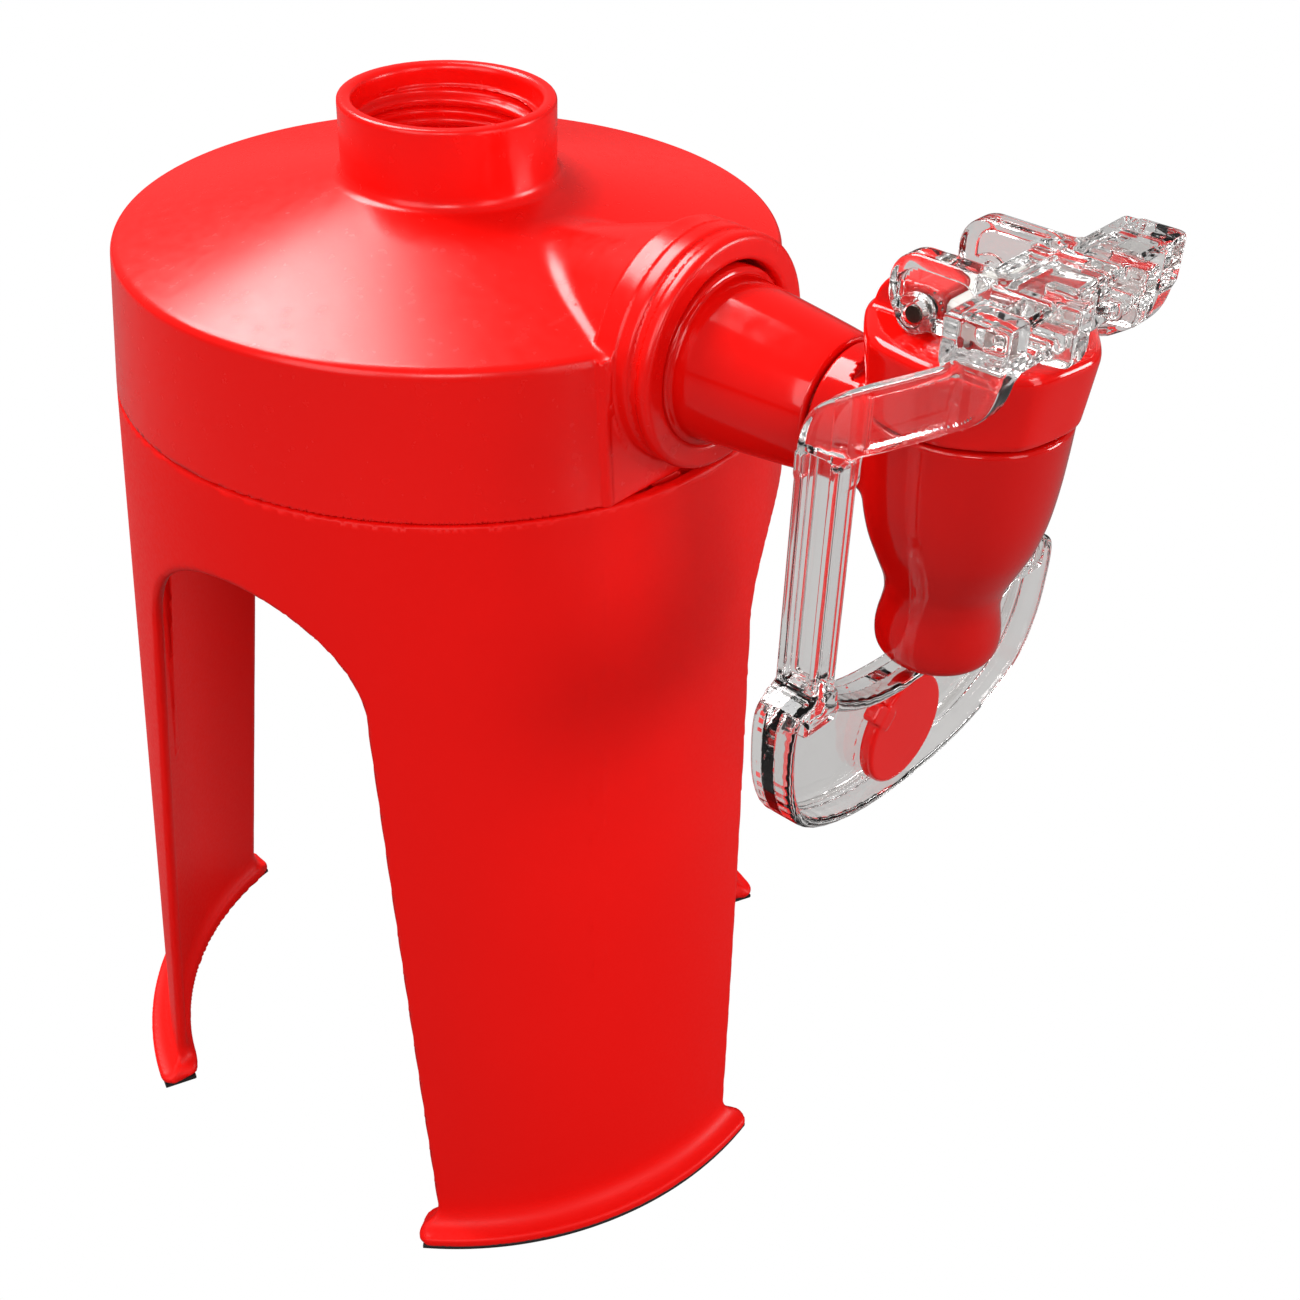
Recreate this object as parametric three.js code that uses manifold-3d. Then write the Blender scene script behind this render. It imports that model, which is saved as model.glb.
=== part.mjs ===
// Inverted-bottle drink dispenser: a three-legged stand, a head that a bottle screws into upside down,
// and a push tap with a clear stirrup lever. Millimetres, +Z up. The design is drawn in the frame of the
// bottle: its axis is the Z axis, the floor is z = 0, and +X points at the tap. At the end the whole
// group is shifted so that the origin is the bottom centre of the object's box.
import * as THREE from 'three';
import { mergeVertices } from 'three/addons/utils/BufferGeometryUtils.js';
import Module from 'manifold-3d';

const wasm = await Module();
wasm.setup();

// ---- driving dimensions (mm, degrees) ----
const GAP = 0.3;                    // clearance between pieces that touch
const ROUND = 60;                   // facets of the widest turned surfaces
const FAR = 200;                    // longer than anything that a cutter has to pass through

const WALL = 2.2;                   // moulded wall
const SEAM = { r: 54.0, z: 146.5 };       // where the head sits on the stand
const FLOOR_R = 62.6;               // outer radius of the stand's wall at the floor
const PAD = { thick: 0.9, inner: 59.6, outer: 65.8, half: 30.4 };
const FOOT = { z: 1.2, top: 3.0, outer: 66.3, half: 31, fillet: 3.0 };
const LEG_ANGLES = [-22.3, 97.7, 217.7];  // legs, measured from the tap
const ARCH = { floorHalf: 33.0, springHalf: 22.3, springZ: 110, topZ: 130.2 };
const SPIGOT = { r: 51.3, wall: 2.0, top: 152.0, ledge: 143.5 };   // the stand's rim inside the head
const BOSS_NOTCH = { half: 21.5, room: 0.6 };                      // where the rim makes way for the boss
const HEAD_SCREW = { ring: 45.0, shaft: 1.2, length: 19, point: 2, head: 2.9, headTall: 2.2, chamfer: 0.6 };
const SCREW_TAB = { bottom: 139.0, top: 142.0, half: 4.5, inward: 4.0, outer: 53.5 };
const POST = { r: 4.0, bottom: 147.5, top: 168.6 };                // the head's screw posts

const SHOULDER = { r: 52.0, z: 169.2 };
const NECK = { r: 16.63, rim: 189.7, base: 177.8, bore: 14.2, floor: 171.0, crest: 13.0 };
const THREAD = { pitch: 3.18, turns: 2.9, first: 176.0 };
const ROOF = { inner: 175.2, eaves: 166.6, eavesR: 50.0 };         // the underside of the cone
const CHAMBER = { r: 13.4, wall: 16.6, top: 168.2, bottom: 150.0, mouth: 8.0 };

const AXIS_Z = 165.4;               // height of the outlet's axis
const FLAT = { bottomX: 51.1, topX: 49.3, half: 18.6, wall: 3.2 };
const RING = { r: 17.5, z: 166.0, front: 56.4, recess: 13.6, floor: 50.6 };
const FAIRING = { backX: 14, backR: 8.0, frontX: 50 };
const DUCT = { z: 160.5, r: 7.2, bore: 5.4, socket: 11.4, socketX: 36, front: 45.1 };

const TUBE = { spigot: 8.9, tail: 39.3, flange: 13.2, flangeX: 52.3, flangeWide: 2.9, tip: 9.6, end: 78.6 };
const TUBE_TAPER = [[12.3, 55.8], [12.1, 57.4], [11.6, 63], [10.8, 70]];   // [radius, x] along the outside
const TUBE_BORE = { back: 6.0, front: 7.7, stepX: 66 };

const TAP_X = 96.2;                 // axis of the spout
// [radius, z] down to up along the outside of the spout: lip, bulb, waist and bell.
const SPOUT = [[6.6, 134.7], [7.7, 135.1], [8.4, 136.2], [8.75, 138.0], [8.3, 141.4], [8.05, 143.6],
  [8.7, 147.3], [10.1, 150.5], [11.5, 154.0], [12.5, 158.2], [13.1, 163.2], [13.6, 172.8]];
const SPOUT_IN = { bore: 4.2, mouth: 134.7, throat: 8.0, throatZ: 151.3, funnelZ: 147.5, spring: 8.6 };
const SPOUT_COLLAR = { r: 12.4, z: 172.8, top: 180.3 };            // goes up inside the cap
const INLET = { r: 9.2, start: 79.0, spigot: 7.3, tail: 67.5, bore: 5.2 };
const INLET_GROOVE = { back: 71.0, front: 73.4, deep: 1.0 };      // takes the seal on the spigot
const SEAT = { r: 5.0, bottom: 157.5, top: 160.0 };
const CAP = { bottom: 173.2, shelf: 181.4, top: 184.2, inner: 12.8, grips: 8, roomR: 15.7 };
const CAP_OUTSIDE = [[13.7, 173.2], [14.3, 174.4], [15.2, 182.6], [14.8, 183.7], [14.0, 184.2]];
const GRIP = { bottomR: 13.3, topR: 14.5, top: 181, half: 9, reach: 20 };
const GLAND = { outer: 6.0, inner: 3.8, bottom: 178.6, top: 180.8 };       // holds the ring round the stem
const LUG = { half: 5.2, back: 83.0, front: 93.9, top: 189.4, round: 6.5, foot: 2.0 };
const STEM = { r: 1.9, bottom: 152.4, collarZ: 172.6, headZ: 186.4, top: 188.4, head: 5.2, collar: 7.6 };
const SPRING = { r: 6.4, wire: 0.5, turns: 5 };

const PIVOT = { x: 91.7, z: 186.9, pin: 1.1 };
const PRONG = { inner: 5.8, outer: 9.6, back: 87.6, front: 113.8, bottom: 185.1, top: 194.6, round: 4.2 };
const PRONG_POCKET = { rim: 1.8, front: 100, round: 2.6, deep: 1.1, boss: 2.5 };
const PRESS_ROOM = { x: 97.4, rise: 0.105 };    // the prongs' bottoms rise forward, clear of the pressed cap
const CROSSBAR = { back: 102.3, front: 111.2, bottom: 187.7, half: 20.6 };
const CROSSBAR_SLOT = { from: 3.0, to: 15.5, back: 106.5, bottom: 189.8, top: 193.2 };
const NOSE = { r: 1.6, half: 4, x: 100.6, back: 98.4 };
const ARM = { inner: 23.5, outer: 28.0, back: 89.0, front: 95.8, foot: 137, top: 175 };
const ARM_GROOVE = { side: 1.5, deep: 1.2, bottom: 141, top: 172 };
// The side plates leave the arms at one x and lie beside the hub from another x on.
const SIDE = { thick: 4.0, bendX: 94.0, hubX: 105.0 };
// [x, z] round a side plate: up the arm, along the sloping strip to the round front end, and back.
const SIDE_OUTLINE = [[89, 171], [95.8, 171], [95.8, 174.4], [98.9, 176.1], [101.9, 177.7], [104.3, 179],
  [106.6, 180.5], [108.6, 182.1], [110.0, 184.0], [110.8, 186.5], [111.1, 189.5], [111.2, 194.6],
  [105, 194.6], [105, 188.4], [102.3, 187.3], [99.2, 185.7], [96, 184.2], [93.2, 182.6], [91.0, 180.7],
  [89.5, 178.2], [89, 175.5]];
const PADDLE = { web: 92.6, rim: 1.6 };
const DISC = { r: 8.7, y: -2.7, z: 121.1, face: 95.2, chamfer: 0.5, stud: 1.9, studBack: 89.4 };

const RED = new THREE.MeshStandardMaterial({ color: 0xf01812, roughness: 0.38, metalness: 0 });
const TAP_RED = new THREE.MeshStandardMaterial({ color: 0xe5140f, roughness: 0.22, metalness: 0 });
const CLEAR = new THREE.MeshStandardMaterial({
  color: 0xeef3f4, roughness: 0.06, metalness: 0, transparent: true, opacity: 0.4,
});
const RUBBER = new THREE.MeshStandardMaterial({ color: 0x151515, roughness: 0.85, metalness: 0 });
const SILICONE = new THREE.MeshStandardMaterial({ color: 0xd9d9d4, roughness: 0.6, metalness: 0 });
const STEEL = new THREE.MeshStandardMaterial({ color: 0xb9bcc0, roughness: 0.3, metalness: 1 });
const WHITE = new THREE.MeshStandardMaterial({ color: 0xf2f2ee, roughness: 0.45, metalness: 0 });

// ---- helpers: three.js geometry to solids and back ----
function solid(geometry) {
  const bare = geometry.clone();
  bare.deleteAttribute('normal');
  bare.deleteAttribute('uv');
  const merged = mergeVertices(bare, 1e-4);
  const vertProperties = Float32Array.from(merged.attributes.position.array);
  const triVerts = Uint32Array.from(merged.index.array);
  return new wasm.Manifold(new wasm.Mesh({ numProp: 3, vertProperties, triVerts }));
}

function geometryOf(body) {
  const mesh = body.getMesh();
  const geometry = new THREE.BufferGeometry();
  geometry.setAttribute('position', new THREE.BufferAttribute(mesh.vertProperties, 3));
  geometry.setIndex(new THREE.BufferAttribute(mesh.triVerts, 1));
  geometry.computeVertexNormals();
  return geometry;
}

function vectors(points) {
  return points.map(([a, b]) => new THREE.Vector2(a, b));
}

// A profile of [radius, height] points, anticlockwise, turned about the vertical line at x = centre.
function turned(points, segments, centre = 0) {
  const geometry = new THREE.LatheGeometry(vectors([...points, points[0]]), segments);
  geometry.rotateX(Math.PI / 2);
  geometry.translate(centre, 0, 0);
  return solid(geometry);
}

// A profile of [radius, x] points turned about a line along X at height z.
function turnedAlongX(points, segments, z) {
  const geometry = new THREE.LatheGeometry(vectors([...points, points[0]]), segments);
  geometry.rotateX(Math.PI / 2);
  geometry.rotateY(Math.PI / 2);
  geometry.translate(0, 0, z);
  return solid(geometry);
}

function rod(radius, bottom, top, segments, centre = 0) {
  return turned([[0, bottom], [radius, bottom], [radius, top], [0, top]], segments, centre);
}

function rodAlongX(radius, back, front, segments, z) {
  return turnedAlongX([[0, back], [radius, back], [radius, front], [0, front]], segments, z);
}

function rodAlongY(radius, half, x, z, segments = 20) {
  const geometry = new THREE.CylinderGeometry(radius, radius, 2 * half, segments);
  geometry.translate(x, 0, z);
  return solid(geometry);
}

function extruded(shape, depth, curveSegments = 10) {
  return new THREE.ExtrudeGeometry(shape, { depth, bevelEnabled: false, curveSegments });
}

function shapeOf(outline) {
  return outline instanceof THREE.Shape ? outline : new THREE.Shape(vectors(outline));
}

// An outline in [x, z], from y = low to y = high.
function plateAlongY(outline, low, high) {
  const geometry = extruded(shapeOf(outline), high - low);
  geometry.rotateX(Math.PI / 2);
  geometry.translate(0, high, 0);
  return solid(geometry);
}

// An outline in [y, z], from x = low to x = high.
function plateAlongX(outline, low, high) {
  const geometry = extruded(shapeOf(outline), high - low);
  const axes = [new THREE.Vector3(0, 1, 0), new THREE.Vector3(0, 0, 1), new THREE.Vector3(1, 0, 0)];
  geometry.applyMatrix4(new THREE.Matrix4().makeBasis(...axes));
  geometry.translate(low, 0, 0);
  return solid(geometry);
}

// An outline in [x, y], from z = low to z = high.
function plateAlongZ(outline, low, high) {
  const geometry = extruded(shapeOf(outline), high - low);
  geometry.translate(0, 0, low);
  return solid(geometry);
}

function block(x0, x1, y0, y1, z0, z1) {
  return plateAlongZ([[x0, y0], [x1, y0], [x1, y1], [x0, y1]], z0, z1);
}

function spun(body, degrees) {
  return body.rotate([0, 0, degrees]);
}

function joined(bodies) {
  return bodies.reduce((sum, body) => sum.add(body));
}

// A round wire or ridge along a helix about the vertical line at x = centre.
function helix({ radius, section, pitch, turns, start, steps, centre = 0 }) {
  const points = [];
  const count = Math.round(turns * steps);
  for (let i = 0; i <= count; i += 1) {
    const angle = (2 * Math.PI * turns * i) / count;
    const z = start + (pitch * turns * i) / count;
    points.push(new THREE.Vector3(centre + radius * Math.cos(angle), radius * Math.sin(angle), z));
  }
  const path = new THREE.CatmullRomCurve3(points);
  return solid(new THREE.ExtrudeGeometry(section, { steps: count, extrudePath: path, bevelEnabled: false }));
}

function roundSection(radius, sides) {
  const corners = [];
  for (let i = 0; i < sides; i += 1) {
    const angle = (2 * Math.PI * i) / sides;
    corners.push([radius * Math.cos(angle), radius * Math.sin(angle)]);
  }
  return shapeOf(corners);
}

// A rectangle in [x, z] whose two back corners are rounded, and its front bottom corner as asked.
function roundedBack(back, front, bottom, top, radius, frontRadius = 0) {
  const shape = new THREE.Shape();
  if (frontRadius > 0) {
    shape.moveTo(front - frontRadius, bottom);
    shape.absarc(front - frontRadius, bottom + frontRadius, frontRadius, -Math.PI / 2, 0, false);
  } else {
    shape.moveTo(front, bottom);
  }
  shape.lineTo(front, top);
  shape.lineTo(back + radius, top);
  shape.absarc(back + radius, top - radius, radius, Math.PI / 2, Math.PI, false);
  shape.absarc(back + radius, bottom + radius, radius, Math.PI, 1.5 * Math.PI, false);
  return shape;
}

const wallRadius = (z) => FLOOR_R + ((SEAM.r - FLOOR_R) * z) / SEAM.z;

// ---- stand ----
function archCutter() {
  const shape = new THREE.Shape();
  shape.moveTo(-ARCH.floorHalf, -1);
  shape.lineTo(ARCH.floorHalf, -1);
  shape.lineTo(ARCH.springHalf, ARCH.springZ);
  shape.absellipse(0, ARCH.springZ, ARCH.springHalf, ARCH.topZ - ARCH.springZ, 0, Math.PI, false);
  shape.lineTo(-ARCH.floorHalf, -1);
  return plateAlongX(shape, 30, FAR);
}

// A wedge from the axis outwards, from the floor up, that spans the given half angle.
function wedge(halfAngle, top) {
  const reach = FAR * Math.tan(THREE.MathUtils.degToRad(halfAngle));
  return plateAlongZ([[0, 0], [FAR, -reach], [FAR, reach]], -1, top);
}

function stand() {
  const top = SEAM.z - GAP;
  const inner = SPIGOT.r - SPIGOT.wall;
  const shell = turned([
    [wallRadius(FOOT.z) - WALL, FOOT.z], [wallRadius(FOOT.z), FOOT.z], [wallRadius(top), top],
    [SPIGOT.r, top], [SPIGOT.r, SPIGOT.top], [inner, SPIGOT.top], [inner, SPIGOT.ledge],
    [wallRadius(SPIGOT.ledge) - WALL, SPIGOT.ledge - WALL],
  ], ROUND);
  const flange = turned([
    [wallRadius(FOOT.z) - WALL, FOOT.z], [FOOT.outer, FOOT.z], [FOOT.outer, FOOT.top - 0.5],
    [FOOT.outer - 0.5, FOOT.top], [wallRadius(0) + FOOT.fillet * 0.45, FOOT.top + 0.3],
    [wallRadius(0) - 0.1, FOOT.top + FOOT.fillet], [wallRadius(0) - WALL + 0.4, FOOT.top + FOOT.fillet],
  ], ROUND);
  const arch = archCutter();
  const gap = wedge(60 - FOOT.half, FOOT.top + FOOT.fillet + 1);
  const [legWall, feet] = [0, 120, 240].reduce(([wall, ring], turn) => {
    const angle = LEG_ANGLES[0] + 60 + turn;
    return [wall.subtract(spun(arch, angle)), ring.subtract(spun(gap, angle))];
  }, [shell, flange]);
  let body = legWall.add(feet);
  const { ring, shaft } = HEAD_SCREW;
  const tab = block(ring - SCREW_TAB.inward, SCREW_TAB.outer, -SCREW_TAB.half, SCREW_TAB.half,
    SCREW_TAB.bottom, SCREW_TAB.top)
    .subtract(rod(shaft + GAP, SCREW_TAB.bottom - 1, SCREW_TAB.top + 1, 16, ring));
  for (const angle of LEG_ANGLES) {
    body = body.add(spun(tab, angle));
  }
  const { half, room } = BOSS_NOTCH;
  return body.subtract(block(FLAT.topX - FLAT.wall - room, FAR, -half, half, top, SPIGOT.top + 1));
}

function footPad(angle) {
  const { thick, inner, outer, half } = PAD;
  const ring = turned([[inner, 0], [outer, 0], [outer, thick], [inner, thick]], ROUND);
  return ring.intersect(spun(wedge(half, thick + 1), angle));
}

function headScrew(angle) {
  const { ring, shaft, length, point, head, headTall, chamfer } = HEAD_SCREW;
  const under = SCREW_TAB.bottom - GAP;
  const screw = turned([
    [0, under - headTall], [head - chamfer, under - headTall], [head, under - headTall + chamfer],
    [head, under], [shaft, under], [shaft, under + length - point], [0, under + length],
  ], 16, ring);
  return spun(screw, angle);
}

// ---- head ----
// The outside of the head as one filled solid: skirt, low cone and neck.
function headOutside() {
  const { r, z } = SHOULDER;
  return turned([
    [0, SEAM.z], [SEAM.r, SEAM.z], [r, z - 0.9], [r - 0.3, z - 0.3], [r - 1, z + 0.2],
    [NECK.r + 2.2, NECK.base - 0.5], [NECK.r + 0.7, NECK.base + 0.3], [NECK.r + 0.1, NECK.base + 1.6],
    [NECK.r, NECK.rim - 0.5], [NECK.r - 0.4, NECK.rim], [0, NECK.rim],
  ], ROUND);
}

// The hollow under the cone, a wall's thickness inside the outside.
function headInside() {
  return turned([
    [0, SEAM.z - 5], [SPIGOT.r + GAP + 0.1, SEAM.z - 5], [SPIGOT.r + GAP + 0.1, SPIGOT.top + 0.8],
    [ROOF.eavesR, ROOF.eaves], [ROOF.eavesR - 0.8, ROOF.eaves + 0.9], [NECK.r + 1.2, ROOF.inner],
    [0, ROOF.inner],
  ], ROUND);
}

// Everything in front of the boss's flat face, set back by a distance.
function beyondFlat(setback, reach) {
  const { bottomX, topX } = FLAT;
  const slope = (topX - bottomX) / (SHOULDER.z - SEAM.z);
  const xAt = (z) => bottomX + slope * (z - SEAM.z) - setback;
  const [low, high] = [SEAM.z - 8, NECK.rim];
  return plateAlongY([[xAt(low), low], [FAR, low], [FAR, high], [xAt(high), high]], -reach, reach);
}

function flatPlate() {
  const { bottomX, topX, half } = FLAT;
  const outline = [[45, SEAM.z], [bottomX, SEAM.z], [topX, SHOULDER.z - 0.6], [45, SHOULDER.z - 0.6]];
  return plateAlongY(outline, -half, half);
}

// The cone along X that swells out of the roof and ends in the ring. A setback leaves a wall.
function fairing(setback, front) {
  const { backX, backR, frontX } = FAIRING;
  const radiusAt = (x) => backR + ((RING.r - backR) * (x - backX)) / (frontX - backX) - setback;
  const profile = [[0, backX], [radiusAt(backX), backX], [radiusAt(front), front], [0, front]];
  return turnedAlongX(profile, 40, RING.z);
}

// The ridge that the bottle's finish screws along. What would reach past the neck's wall is trimmed.
function threadRidge() {
  const ridge = helix({
    radius: NECK.crest + 0.85, section: roundSection(0.85, 4), pitch: THREAD.pitch, turns: THREAD.turns,
    start: THREAD.first, steps: 16,
  });
  const outer = NECK.bore + 0.9;
  return ridge.subtract(turned([[outer, 160], [outer + 4, 160], [outer + 4, 200], [outer, 200]], 40));
}

function head() {
  const outside = joined([
    headOutside().subtract(beyondFlat(0, 30)),
    flatPlate(),
    fairing(0, FAIRING.frontX),
    turnedAlongX([[0, 44], [RING.r, 44], [RING.r, RING.front - 1.2], [RING.r - 0.4, RING.front - 0.4],
      [RING.r - 1.2, RING.front], [0, RING.front]], 40, RING.z),
  ]);
  const inside = joined([
    headInside().subtract(beyondFlat(FLAT.wall, 60)),
    fairing(WALL, RING.floor - FLAT.wall).subtract(beyondFlat(FLAT.wall, 60)),
  ]);
  const { ring, shaft } = HEAD_SCREW;
  const { bore, floor, rim } = NECK;
  let body = outside.subtract(inside).add(rod(CHAMBER.wall, floor, ROOF.inner + 0.6, 40));
  const post = rod(POST.r, POST.bottom, POST.top, 12, ring);
  const pilot = rod(shaft + GAP, SEAM.z, SCREW_TAB.bottom + HEAD_SCREW.length + 1, 10, ring);
  for (const angle of LEG_ANGLES) {
    body = body.add(spun(post, angle)).subtract(spun(pilot, angle));
  }
  body = [
    turned([[0, floor - 1], [bore, floor - 1], [bore, rim - 0.5], [bore + 0.6, rim + 1], [0, rim + 1]], 40),
    rodAlongX(TUBE.spigot + GAP, DUCT.front - 2, RING.floor + 1, 32, AXIS_Z),
    rodAlongX(RING.recess, RING.floor, RING.front + 1, 40, AXIS_Z),
  ].reduce((sum, cutter) => sum.subtract(cutter), body);
  return body.add(threadRidge());
}

// The cup that closes the neck from below, with a low pipe to the socket that takes the tube's spigot.
function drinkDuct() {
  const { r, wall, top, bottom, mouth } = CHAMBER;
  const rim = NECK.floor - GAP;
  const body = joined([
    rod(wall, bottom, rim, 40),
    rodAlongX(DUCT.r, r - 2, DUCT.socketX + 2, 24, DUCT.z),
    rodAlongX(DUCT.socket, DUCT.socketX, DUCT.front, 32, AXIS_Z),
  ]);
  return [
    rod(r, bottom - 1, top, 40),
    rod(mouth, top - 1, rim + 1, 24),
    rodAlongX(DUCT.bore, r - 4, DUCT.socketX + 4, 24, DUCT.z),
    rodAlongX(TUBE.spigot + GAP, TUBE.tail - 0.8, DUCT.front + 1, 32, AXIS_Z),
  ].reduce((sum, cutter) => sum.subtract(cutter), body);
}

function neckGasket() {
  const { floor, bore } = NECK;
  const [low, high] = [floor + GAP, floor + 2.0];
  return turned([[8.6, low], [bore - GAP, low], [bore - GAP, high], [8.6, high]], 48);
}

function chamberPlug() {
  const { r, wall, bottom } = CHAMBER;
  const base = bottom - GAP;
  return turned([
    [0, base - 2.4], [wall, base - 2.4], [wall, base], [r - GAP, base], [r - GAP, base + 2],
    [r - 1.4, base + 2], [r - 1.4, base + 4], [r - GAP, base + 4], [r - GAP, base + 5.5], [0, base + 5.5],
  ], 32);
}

function plugSeal() {
  const { r, bottom } = CHAMBER;
  const low = bottom - GAP + 2 + 0.3;
  return turned([[r - 1.1, low], [r - GAP, low], [r - GAP, low + 1.4], [r - 1.1, low + 1.4]], 32);
}

// ---- outlet tube ----
function outletTube() {
  const { spigot, tail, flange, flangeX, flangeWide, tip, end } = TUBE;
  const { back, front, stepX } = TUBE_BORE;
  return turnedAlongX([
    [back, tail], [spigot, tail], [spigot, flangeX], [flange, flangeX], [flange, flangeX + flangeWide],
    ...TUBE_TAPER, [tip, end - 0.4],
    [tip - 0.4, end], [front, end], [front, stepX], [back, stepX],
  ], 32, AXIS_Z);
}

function tubeGasket() {
  const [low, high] = [RING.floor + GAP, TUBE.flangeX - GAP];
  return turnedAlongX([[9.4, low], [12.9, low], [12.9, high], [9.4, high]], 40, AXIS_Z);
}

// ---- tap ----
function tapBody() {
  const { bore: mouthR, mouth, throat, throatZ, funnelZ, spring } = SPOUT_IN;
  const { r: collar, z: collarZ, top } = SPOUT_COLLAR;
  const spout = turned([
    [mouthR, mouth], ...SPOUT, [collar, collarZ], [collar, top], [spring, top], [spring, SEAT.top],
    [SEAT.r, SEAT.top], [SEAT.r, SEAT.bottom], [throat, SEAT.bottom], [throat, throatZ], [mouthR, funnelZ],
  ], 36, TAP_X);
  const { r, start, spigot, tail, bore } = INLET;
  const { back, front, deep } = INLET_GROOVE;
  const end = TAP_X - 9.7;
  const inlet = turnedAlongX([
    [0, tail], [spigot - 0.4, tail], [spigot, tail + 0.4], [spigot, back], [spigot - deep, back],
    [spigot - deep, front], [spigot, front], [spigot, start], [r, start], [r, end], [0, end],
  ], 24, AXIS_Z);
  const chamber = rod(10, funnelZ, top, 24, TAP_X);
  const capRoom = rod(CAP.roomR, CAP.bottom - GAP, FAR, 24, TAP_X);
  return joined([spout, inlet.subtract(chamber).subtract(capRoom)])
    .subtract(rodAlongX(bore, tail - 1, TAP_X - 7, 20, AXIS_Z));
}

function inletSeal() {
  const [low, high] = [INLET.spigot - 0.75, INLET.spigot + 0.1];
  const [back, front] = [INLET_GROOVE.back + GAP, INLET_GROOVE.front - GAP];
  return turnedAlongX([[low, back], [high, back], [high, front], [low, front]], 28, AXIS_Z);
}

function tapCap() {
  const { bottom, shelf, top, inner, grips } = CAP;
  const passage = STEM.r + GAP + 0.2;
  let body = turned([
    [inner, bottom], ...CAP_OUTSIDE, [passage, top], [passage, GLAND.top], [GLAND.inner, GLAND.top],
    [GLAND.inner, GLAND.bottom], [GLAND.outer, GLAND.bottom], [GLAND.outer, shelf], [inner, shelf],
  ], 40, TAP_X);
  const { bottomR, topR, top: gripTop, half: gripHalf, reach } = GRIP;
  const flatOutline = [[bottomR, bottom - 1], [reach, bottom - 1], [reach, gripTop], [topR, gripTop]];
  const flat = plateAlongY(flatOutline, -gripHalf, gripHalf);
  for (let i = 0; i < grips; i += 1) {
    body = body.subtract(spun(flat, (360 / grips) * (i + 0.5)).translate([TAP_X, 0, 0]));
  }
  const { half, back, front, top: lugTop, round, foot } = LUG;
  const lug = new THREE.Shape();
  lug.moveTo(back, top - foot);
  lug.lineTo(front, top - foot);
  lug.lineTo(front, lugTop - 1);
  lug.lineTo(front - 1, lugTop);
  lug.lineTo(back + round, lugTop);
  lug.absarc(back + round, lugTop - round, round, Math.PI / 2, Math.PI, false);
  return body.add(plateAlongY(lug, -half, half)).subtract(rodAlongY(PIVOT.pin + GAP, 12, PIVOT.x, PIVOT.z));
}

function capGasket() {
  return turned([[9.0, 180.6], [12.2, 180.6], [12.2, 181.1], [9.0, 181.1]], 40, TAP_X);
}

// ---- valve ----
function valveStem() {
  const { r, bottom, collarZ, headZ, top, head: headR, collar } = STEM;
  const body = turned([
    [0, bottom], [3.4, bottom], [3.4, bottom + 1.6], [r, bottom + 1.6], [r, collarZ], [collar, collarZ],
    [collar, collarZ + 1.5], [r, collarZ + 1.5], [r, headZ], [headR, headZ], [headR, top - 0.5],
    [headR - 0.6, top], [0, top],
  ], 32, TAP_X);
  return body.subtract(block(TAP_X - 9, TAP_X - r, -9, 9, headZ - 0.5, top + 1));
}

function valveSeal() {
  const low = STEM.bottom + 1.6 + GAP;
  const high = SEAT.bottom - GAP;
  return turned([
    [STEM.r + GAP, low], [5.4, low], [6.6, low + 1.2], [6.6, high], [STEM.r + GAP, high],
  ], 32, TAP_X);
}

function stemSeal() {
  return turned([[STEM.r + GAP, 178.9], [3.5, 178.9], [3.5, 180.5], [STEM.r + GAP, 180.5]], 24, TAP_X);
}

function valveSpring() {
  const { r, wire, turns } = SPRING;
  const start = SEAT.top + GAP + wire;
  const pitch = (STEM.collarZ - GAP - wire - start) / turns;
  return helix({ radius: r, section: roundSection(wire, 5), pitch, turns, start, steps: 14, centre: TAP_X });
}

// ---- lever ----
function mirroredPair(plate, outline, low, high) {
  return plate(outline, low, high).add(plate(outline, -high, -low));
}

function prongs() {
  const { inner, outer, back, front, bottom, top, round } = PRONG;
  const { rim, front: pocketFront, round: pocketRound, deep, boss } = PRONG_POCKET;
  const outline = roundedBack(back, front, bottom, top, round, round);
  const pocket = roundedBack(back + rim, pocketFront, bottom + rim, top - rim, pocketRound);
  const below = [[PRESS_ROOM.x, bottom - 1], [front + 1, bottom - 1],
    [front + 1, bottom + PRESS_ROOM.rise * (front + 1 - PRESS_ROOM.x)], [PRESS_ROOM.x, bottom]];
  const plates = mirroredPair(plateAlongY, outline, inner, outer);
  return plates.subtract(mirroredPair(plateAlongY, pocket, outer - deep, outer + 1))
    .subtract(plateAlongY(below, -outer - 1, outer + 1))
    .add(mirroredPair(plateAlongY, roundBoss(boss), inner, outer));
}

function roundBoss(radius) {
  const shape = new THREE.Shape();
  shape.absarc(PIVOT.x, PIVOT.z, radius, 0, 2 * Math.PI, false);
  return shape;
}

// The bar over the cap that the thumb presses, hollowed in front, with the nose that presses the stem.
function crossbar() {
  const { back, front, bottom, half } = CROSSBAR;
  const slot = CROSSBAR_SLOT;
  const { inner, top } = PRONG;
  const bar = block(back, front, -half, half, bottom, top);
  const hollow = block(slot.back, front + 1, slot.from, slot.to, slot.bottom, slot.top);
  const noseZ = STEM.top + GAP + NOSE.r + 0.05;
  const nose = rodAlongY(NOSE.r, NOSE.half, NOSE.x, noseZ, 16);
  const web = block(NOSE.back, back + 1, -inner - 1, inner + 1, noseZ, top - 1);
  return joined([bar.subtract(hollow).subtract(hollow.mirror([0, 1, 0])), web, nose]);
}

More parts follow.
